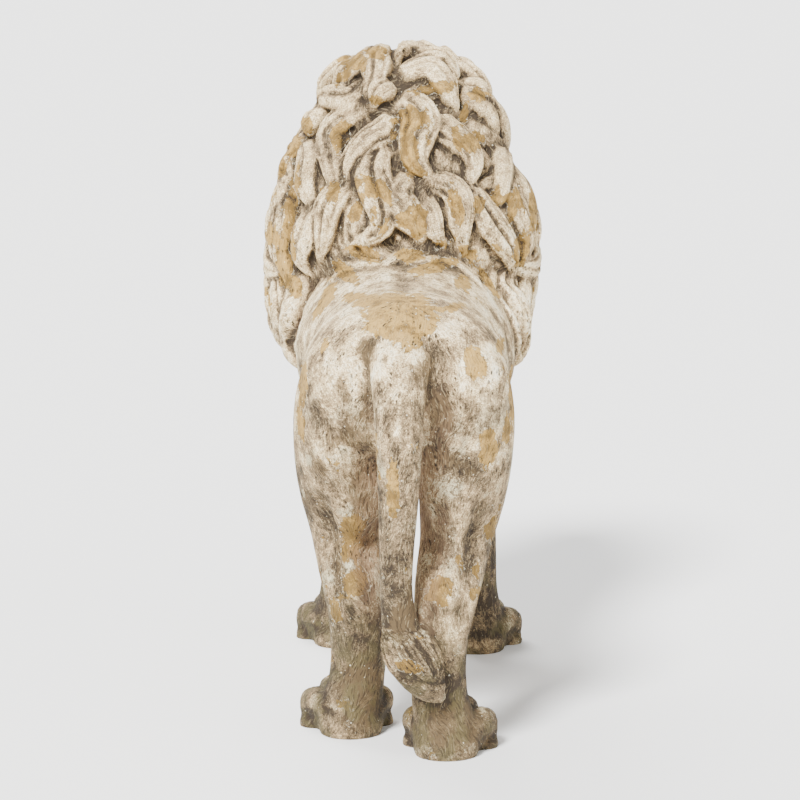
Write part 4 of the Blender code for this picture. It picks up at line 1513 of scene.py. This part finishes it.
def weathered_paint():
    """Cream paint worn to its ochre ground, darkened grey-brown in its hollows by a wash and by painted
    shade, paled on its crests as painted highlight, and brushed with fine hairs.
    """
    material = bpy.data.materials.new("weathered_paint")
    material.use_nodes = True
    tree = material.node_tree
    surface = tree.nodes["Principled BSDF"]
    hairs, ragged, specks = brush_hairs(), ragged_edge(), flecks()

    place = put(tree, "TexCoord").outputs["Object"]
    height = worked(tree, "DIVIDE", put(tree, "SeparateXYZ", {0: place}).outputs["Z"], PART)
    crevice = held(tree, mask(tree, "crevice"), -0.6, 1.2)
    groove = held(tree, mask(tree, "groove"), -0.4, 1.0)
    hollow = held(tree, mask(tree, "hollow"), -0.5, 1.0)
    shelter_mask, worn_mask, soiled_and_shadowed_mask = (mask(tree, name) for name in ("shelter", "worn", "soiled_and_shadowed"))

    def where(heights):
        return step(tree, height, *heights)

    def clouds(*layers):
        made = []
        for size, strength, detail, roughness in layers:
            soft = cloud(tree, place, size, detail, roughness)
            made.append(product(tree, worked(tree, "SUBTRACT", soft, 0.5), strength))
        return added(tree, *made)

    # The brush went with the hair and swirled a little from it.
    swirl = clouds(SWIRL_CLOUD)
    straight, square = mask(tree, "lie", "Vector"), mask(tree, "across", "Vector")
    lie = leaning(tree, straight, square, swirl)
    across = leaning(tree, square, straight, product(tree, swirl, -1))

    def brushed(layers):
        made = []
        for size, length, width, share, seed in layers:
            run = {"Place": place, "Lie": lie, "Across": across, "Size": size * PART, "Seed": seed * PART}
            made.append(use(tree, hairs, {**run, "Length": length, "Width": width, "Share": share})["Mask"])
        return worked(tree, "MAXIMUM", *made)

    def speckled(size, share, radius):
        inputs = {"Place": place, "Size": size * PART, "Share": share, "Radius": radius}
        return use(tree, specks, inputs)["Mask"]

    # How dark the paint is: darkened by depth and shelter as painted shade over a real wash, and paled on
    # crests as painted highlight; dirty in broad clouds, where its clean skin has flaked away with a torn
    # edge, sponged on, and finely speckled. The legs' middle is shaded less deeply than the rest.
    fine = cloud(tree, place, 11, detail=6, roughness=0.65)
    dips = ((crevice, 0.14), (groove, 0.14), (hollow, 0.07))
    depth = added(tree, *(product(tree, dip, share) for dip, share in dips))
    shallow = product(tree, where(LEGS_BELOW), where(LEGS_ABOVE), -0.65)
    depth = product(tree, depth, added(tree, 1.0, shallow))
    broad = clouds(*BROAD_CLOUDS)
    flaked = added(tree, depth, broad, clouds(FLAKED_CLOUD))
    first_tear = product(tree, step(tree, flaked, 0.0, 0.035), 0.13)
    second_tear = product(tree, step(tree, flaked, 0.14, 0.18), 0.1)
    soil_and_shadow = step(tree, added(tree, soiled_and_shadowed_mask, clouds(SOILED_AND_SHADOWED_CLOUD)), -0.15, 0.35)
    dirt_and_shade = added(
        tree,
        DIRT_EVERYWHERE,
        depth,
        broad,
        added(tree, first_tear, second_tear),
        clouds(*SPONGED_CLOUDS),
        product(tree, clouds(MOTTLED_CLOUD), where(BELOW_BACK)),
        product(tree, where(LOW_DOWN), DARKENING_LOW_DOWN),
        # Painted shade, with some grime, where the figure shelters itself.
        product(tree, shelter_mask, SHELTERED_SHADE_AND_GRIME),
        product(tree, where(ON_PAWS), DIRT_ON_PAWS),
        product(tree, where(BELOW_HIPS), where(ABOVE_HOCKS), DIRT_ON_THIGHS),
        product(tree, where(ABOVE_FLANKS), where(BELOW_MANE), DARKENING_ON_BACK),
        product(tree, where(MANE_DARKENING_HEIGHTS), DARKENING_IN_MANE),
        product(tree, soil_and_shadow, SOIL_AND_SHADOW_IN_PATCHES),
    )
    colour = ramp(tree, dirt_and_shade, PAINT_BY_DIRT_AND_SHADE)
    # Brown over the drawn patches: dirt, and beside the tail root painted shadow.
    colour = laid_over(tree, colour, BROWN_SOIL_AND_SHADOW, product(tree, soil_and_shadow, 0.42))

    # Cool, greenish-white paint here and there on the lower half.
    cool = product(tree, where(COOL_BELOW), step(tree, cloud(tree, place, 55), 0.48, 0.58))
    clean = step(tree, dirt_and_shade, 0.68, 0.38)
    colour = laid_over(tree, colour, COOL_WHITE, product(tree, cool, clean, 0.65))

    # Where the paint is worn, the ochre ground with a broken white rim; the wash lies over it more thinly.
    inside = added(tree, worn_mask, product(tree, groove, -0.2), 0.12)
    patch = use(tree, ragged, {"Inside": inside, "Place": place, "Size": 13 * PART, "Tear": 2.0, "Rim": 0.08})
    bare, rim = patch["Mask"], patch["Rim"]
    in_mane = where(MANE_OCHRE_HEIGHTS)
    ripe = added(
        tree,
        fine,
        clouds(OCHRE_CLOUD),
        product(tree, dirt_and_shade, -0.4),
        product(tree, in_mane, -0.12),
        product(tree, where(DARK_OCHRE_BELOW), -0.14),
    )
    ochre = laid_over(tree, OCHRE, PALE_OCHRE, step(tree, ripe, 0.12, 0.42))
    ochre_share = product(tree, bare, step(tree, dirt_and_shade, 1.15, 0.85))
    colour = laid_over(tree, colour, ochre, product(tree, ochre_share, 0.95))
    covered = added(tree, 1.0, product(tree, bare, -0.7))
    rim_broken = product(tree, rim, step(tree, cloud(tree, place, 4), 0.47, 0.56))
    colour = laid_over(tree, colour, WHITE, product(tree, rim_broken, 0.45))

    # Pink-brown in the sheltered places by the tail, partly a blush in the paint and partly painted shade,
    # and moss near the ground.
    blush_and_shade = product(tree, step(tree, shelter_mask, 0.2, 0.55), where(BLUSH_AND_SHADE_BELOW), where(BLUSH_AND_SHADE_ABOVE))
    colour = laid_over(tree, colour, BLUSH_AND_SHADE_TINT, product(tree, blush_and_shade, 0.45))
    moss = product(tree, where(MOSS_BELOW), step(tree, cloud(tree, place, 34), 0.47, 0.58))
    colour = laid_over(tree, colour, MOSS, product(tree, moss, 0.6))

    # Fine hairs of the brush, dark in the wash, and light on the paint but fainter on muddy paws. Then dark
    # dashes and specks.
    dark_hairs = brushed(DARK_HAIRS)
    dark_share = added(tree, product(tree, step(tree, dirt_and_shade, 0.3, 0.75), 0.42), 0.2)
    colour = laid_over(tree, colour, DARK_WASH_AND_SHADE, product(tree, dark_hairs, dark_share, covered))
    light_hairs = brushed(LIGHT_HAIRS)
    light_share = added(tree, product(tree, step(tree, dirt_and_shade, 0.9, 0.5), 0.22), 0.2)
    muddy = added(tree, 1.0, product(tree, where(MUDDY_BELOW), -0.5))
    colour = laid_over(tree, colour, CREAM, product(tree, light_hairs, light_share, covered, muddy))
    dashes = brushed(DARK_DASHES)
    dashed = product(tree, step(tree, cloud(tree, place, 32, detail=3), 0.42, 0.6), where(DASHES_ABOVE))
    dash_share = product(tree, 0.95, dashed, added(tree, 1.0, product(tree, in_mane, -0.75)))
    colour = laid_over(tree, colour, DARK_WASH_AND_SHADE, product(tree, dashes, dash_share))
    pits = speckled(*PITS)
    colour = laid_over(tree, colour, DARK_WASH_AND_SHADE, product(tree, pits, 0.7))
    colour = laid_over(tree, colour, WHITE, product(tree, speckled(*CHIPS), 0.5))
    tree.links.new(colour, surface.inputs["Base Color"])

    rough = added(tree, 0.72, product(tree, fine, 0.25))
    tree.links.new(rough, surface.inputs["Roughness"])
    surface.inputs["Specular IOR Level"].default_value = 0.25

    # The relief that is finer than the carving: paint edges, brush marks, pits and grain.
    relief = added(
        tree,
        product(tree, cloud(tree, place, 2.2, detail=3, roughness=0.7), 0.5),
        product(tree, fine, 0.9),
        product(tree, bare, -0.3),
        product(tree, dark_hairs, -0.6),
        product(tree, light_hairs, 0.45),
        product(tree, pits, -0.6),
        product(tree, dashes, dash_share, -0.9),
    )
    bump = put(tree, "Bump", {"Height": relief, "Strength": 1.0, "Distance": RELIEF_DEPTH * PART})
    tree.links.new(bump.outputs["Normal"], surface.inputs["Normal"])
    return material


def carved_lion():
    """The whole figure, carved in the order of the frame's own: masses, forms, locks, then the fine cuts."""
    masses = bmesh.new()
    torso(masses)
    haunches(masses)
    for leg in FEET.values():
        limb(masses, eased(leg_stations(*leg)))
    for centre, radii in MANE_MASSES:
        ellipsoid(masses, centre, radii)
    body = fused(mesh_of(masses, "masses"), MASS_VOXEL, MASS_SMOOTHING)
    press(body, body_strokes() + hock_strokes())

    forms = bmesh.new()
    head(forms)
    limb(forms, eased(TAIL))
    for leg in FEET.values():
        paw(forms, leg_stations(*leg)[-1], leg[1])
    forms.from_mesh(body.data)
    bpy.data.objects.remove(body)
    body = fused(mesh_of(forms, "forms"), FORM_VOXEL, FORM_SMOOTHING)
    press(body, face_strokes())

    skin = skin_of(body)
    locks = bmesh.new()
    eyes(locks)
    mane_partings, tuft_partings = mane(locks, skin), tuft(locks, skin)
    partings = mane_partings + tuft_partings
    locks.from_mesh(body.data)
    bpy.data.objects.remove(body)
    lion = fused(mesh_of(locks, "lion_carving"), SKIN_VOXEL, SKIN_SMOOTHING)
    press(lion, face_cuts())

    lie = Lie(coat_guides(partings))
    mane_tree = tree_of([place for line in partings for place in line])
    places, normals = grain_of(lion)
    cuts = parting_cuts(mane_partings) + tuft_cuts(tuft_partings)
    carve(lion, cuts + hair_cuts(skin_of(lion), lie, places, normals, mane_tree))
    thinned(lion, MOST_TRIANGLES)
    cut_soles(lion)
    measure_skin(lion, lie)
    middle = centred(lion)
    lion.data.shade_smooth()
    return lion, middle


def floor():
    """A plain pale floor that runs on past the view."""
    bpy.ops.mesh.primitive_plane_add(size=FLOOR_SIZE, location=(0, 0, 0))
    ground = bpy.context.object
    ground.name = "floor"
    material = bpy.data.materials.new("pale_floor")
    material.use_nodes = True
    surface = material.node_tree.nodes["Principled BSDF"]
    surface.inputs["Base Color"].default_value = (*FLOOR_COLOUR, 1)
    surface.inputs["Roughness"].default_value = 0.9
    ground.data.materials.append(material)


def studio_light(name, towards, spread, power):
    """A wide soft light from one side: the direction towards it, its spread in degrees and its power."""
    lamp = bpy.data.objects.new(name, bpy.data.lights.new(name, "SUN"))
    lamp.data.angle = math.radians(spread)
    lamp.data.energy = power
    lamp.rotation_euler = Vector(towards).to_track_quat("Z", "Y").to_euler()
    bpy.context.scene.collection.objects.link(lamp)


def studio():
    """Soft light from behind the lion's left shoulder, fill from its right and its front, and a pale room."""
    for light in LIGHTS:
        studio_light(*light)
    world = bpy.data.worlds.new("room")
    world.use_nodes = True
    air = world.node_tree.nodes["Background"]
    air.inputs["Color"].default_value = (1, 1, 1, 1)
    air.inputs["Strength"].default_value = ROOM_BRIGHTNESS
    bpy.context.scene.world = world


def photograph_camera(middle):
    """The camera at the eye, behind and above; middle is where the figure's was before it was centred."""
    camera = bpy.data.objects.new("camera", bpy.data.cameras.new("camera"))
    camera.location = scaled(EYE) - middle
    camera.rotation_euler = (math.pi / 2 - math.atan(EYE_FALL), 0, math.pi)
    camera.data.sensor_width = SENSOR
    camera.data.lens = SENSOR * EYE_REACH / VIEW_SIDE
    camera.data.shift_x = (VIEW_SIDE / 2 - VIEW_MIDDLE[0]) / VIEW_SIDE
    camera.data.clip_end = 100
    bpy.context.scene.collection.objects.link(camera)
    bpy.context.scene.camera = camera


lion, MIDDLE = carved_lion()
lion.data.materials.append(weathered_paint())
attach(lion, "root")
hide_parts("lion")
floor()
studio()
photograph_camera(MIDDLE)
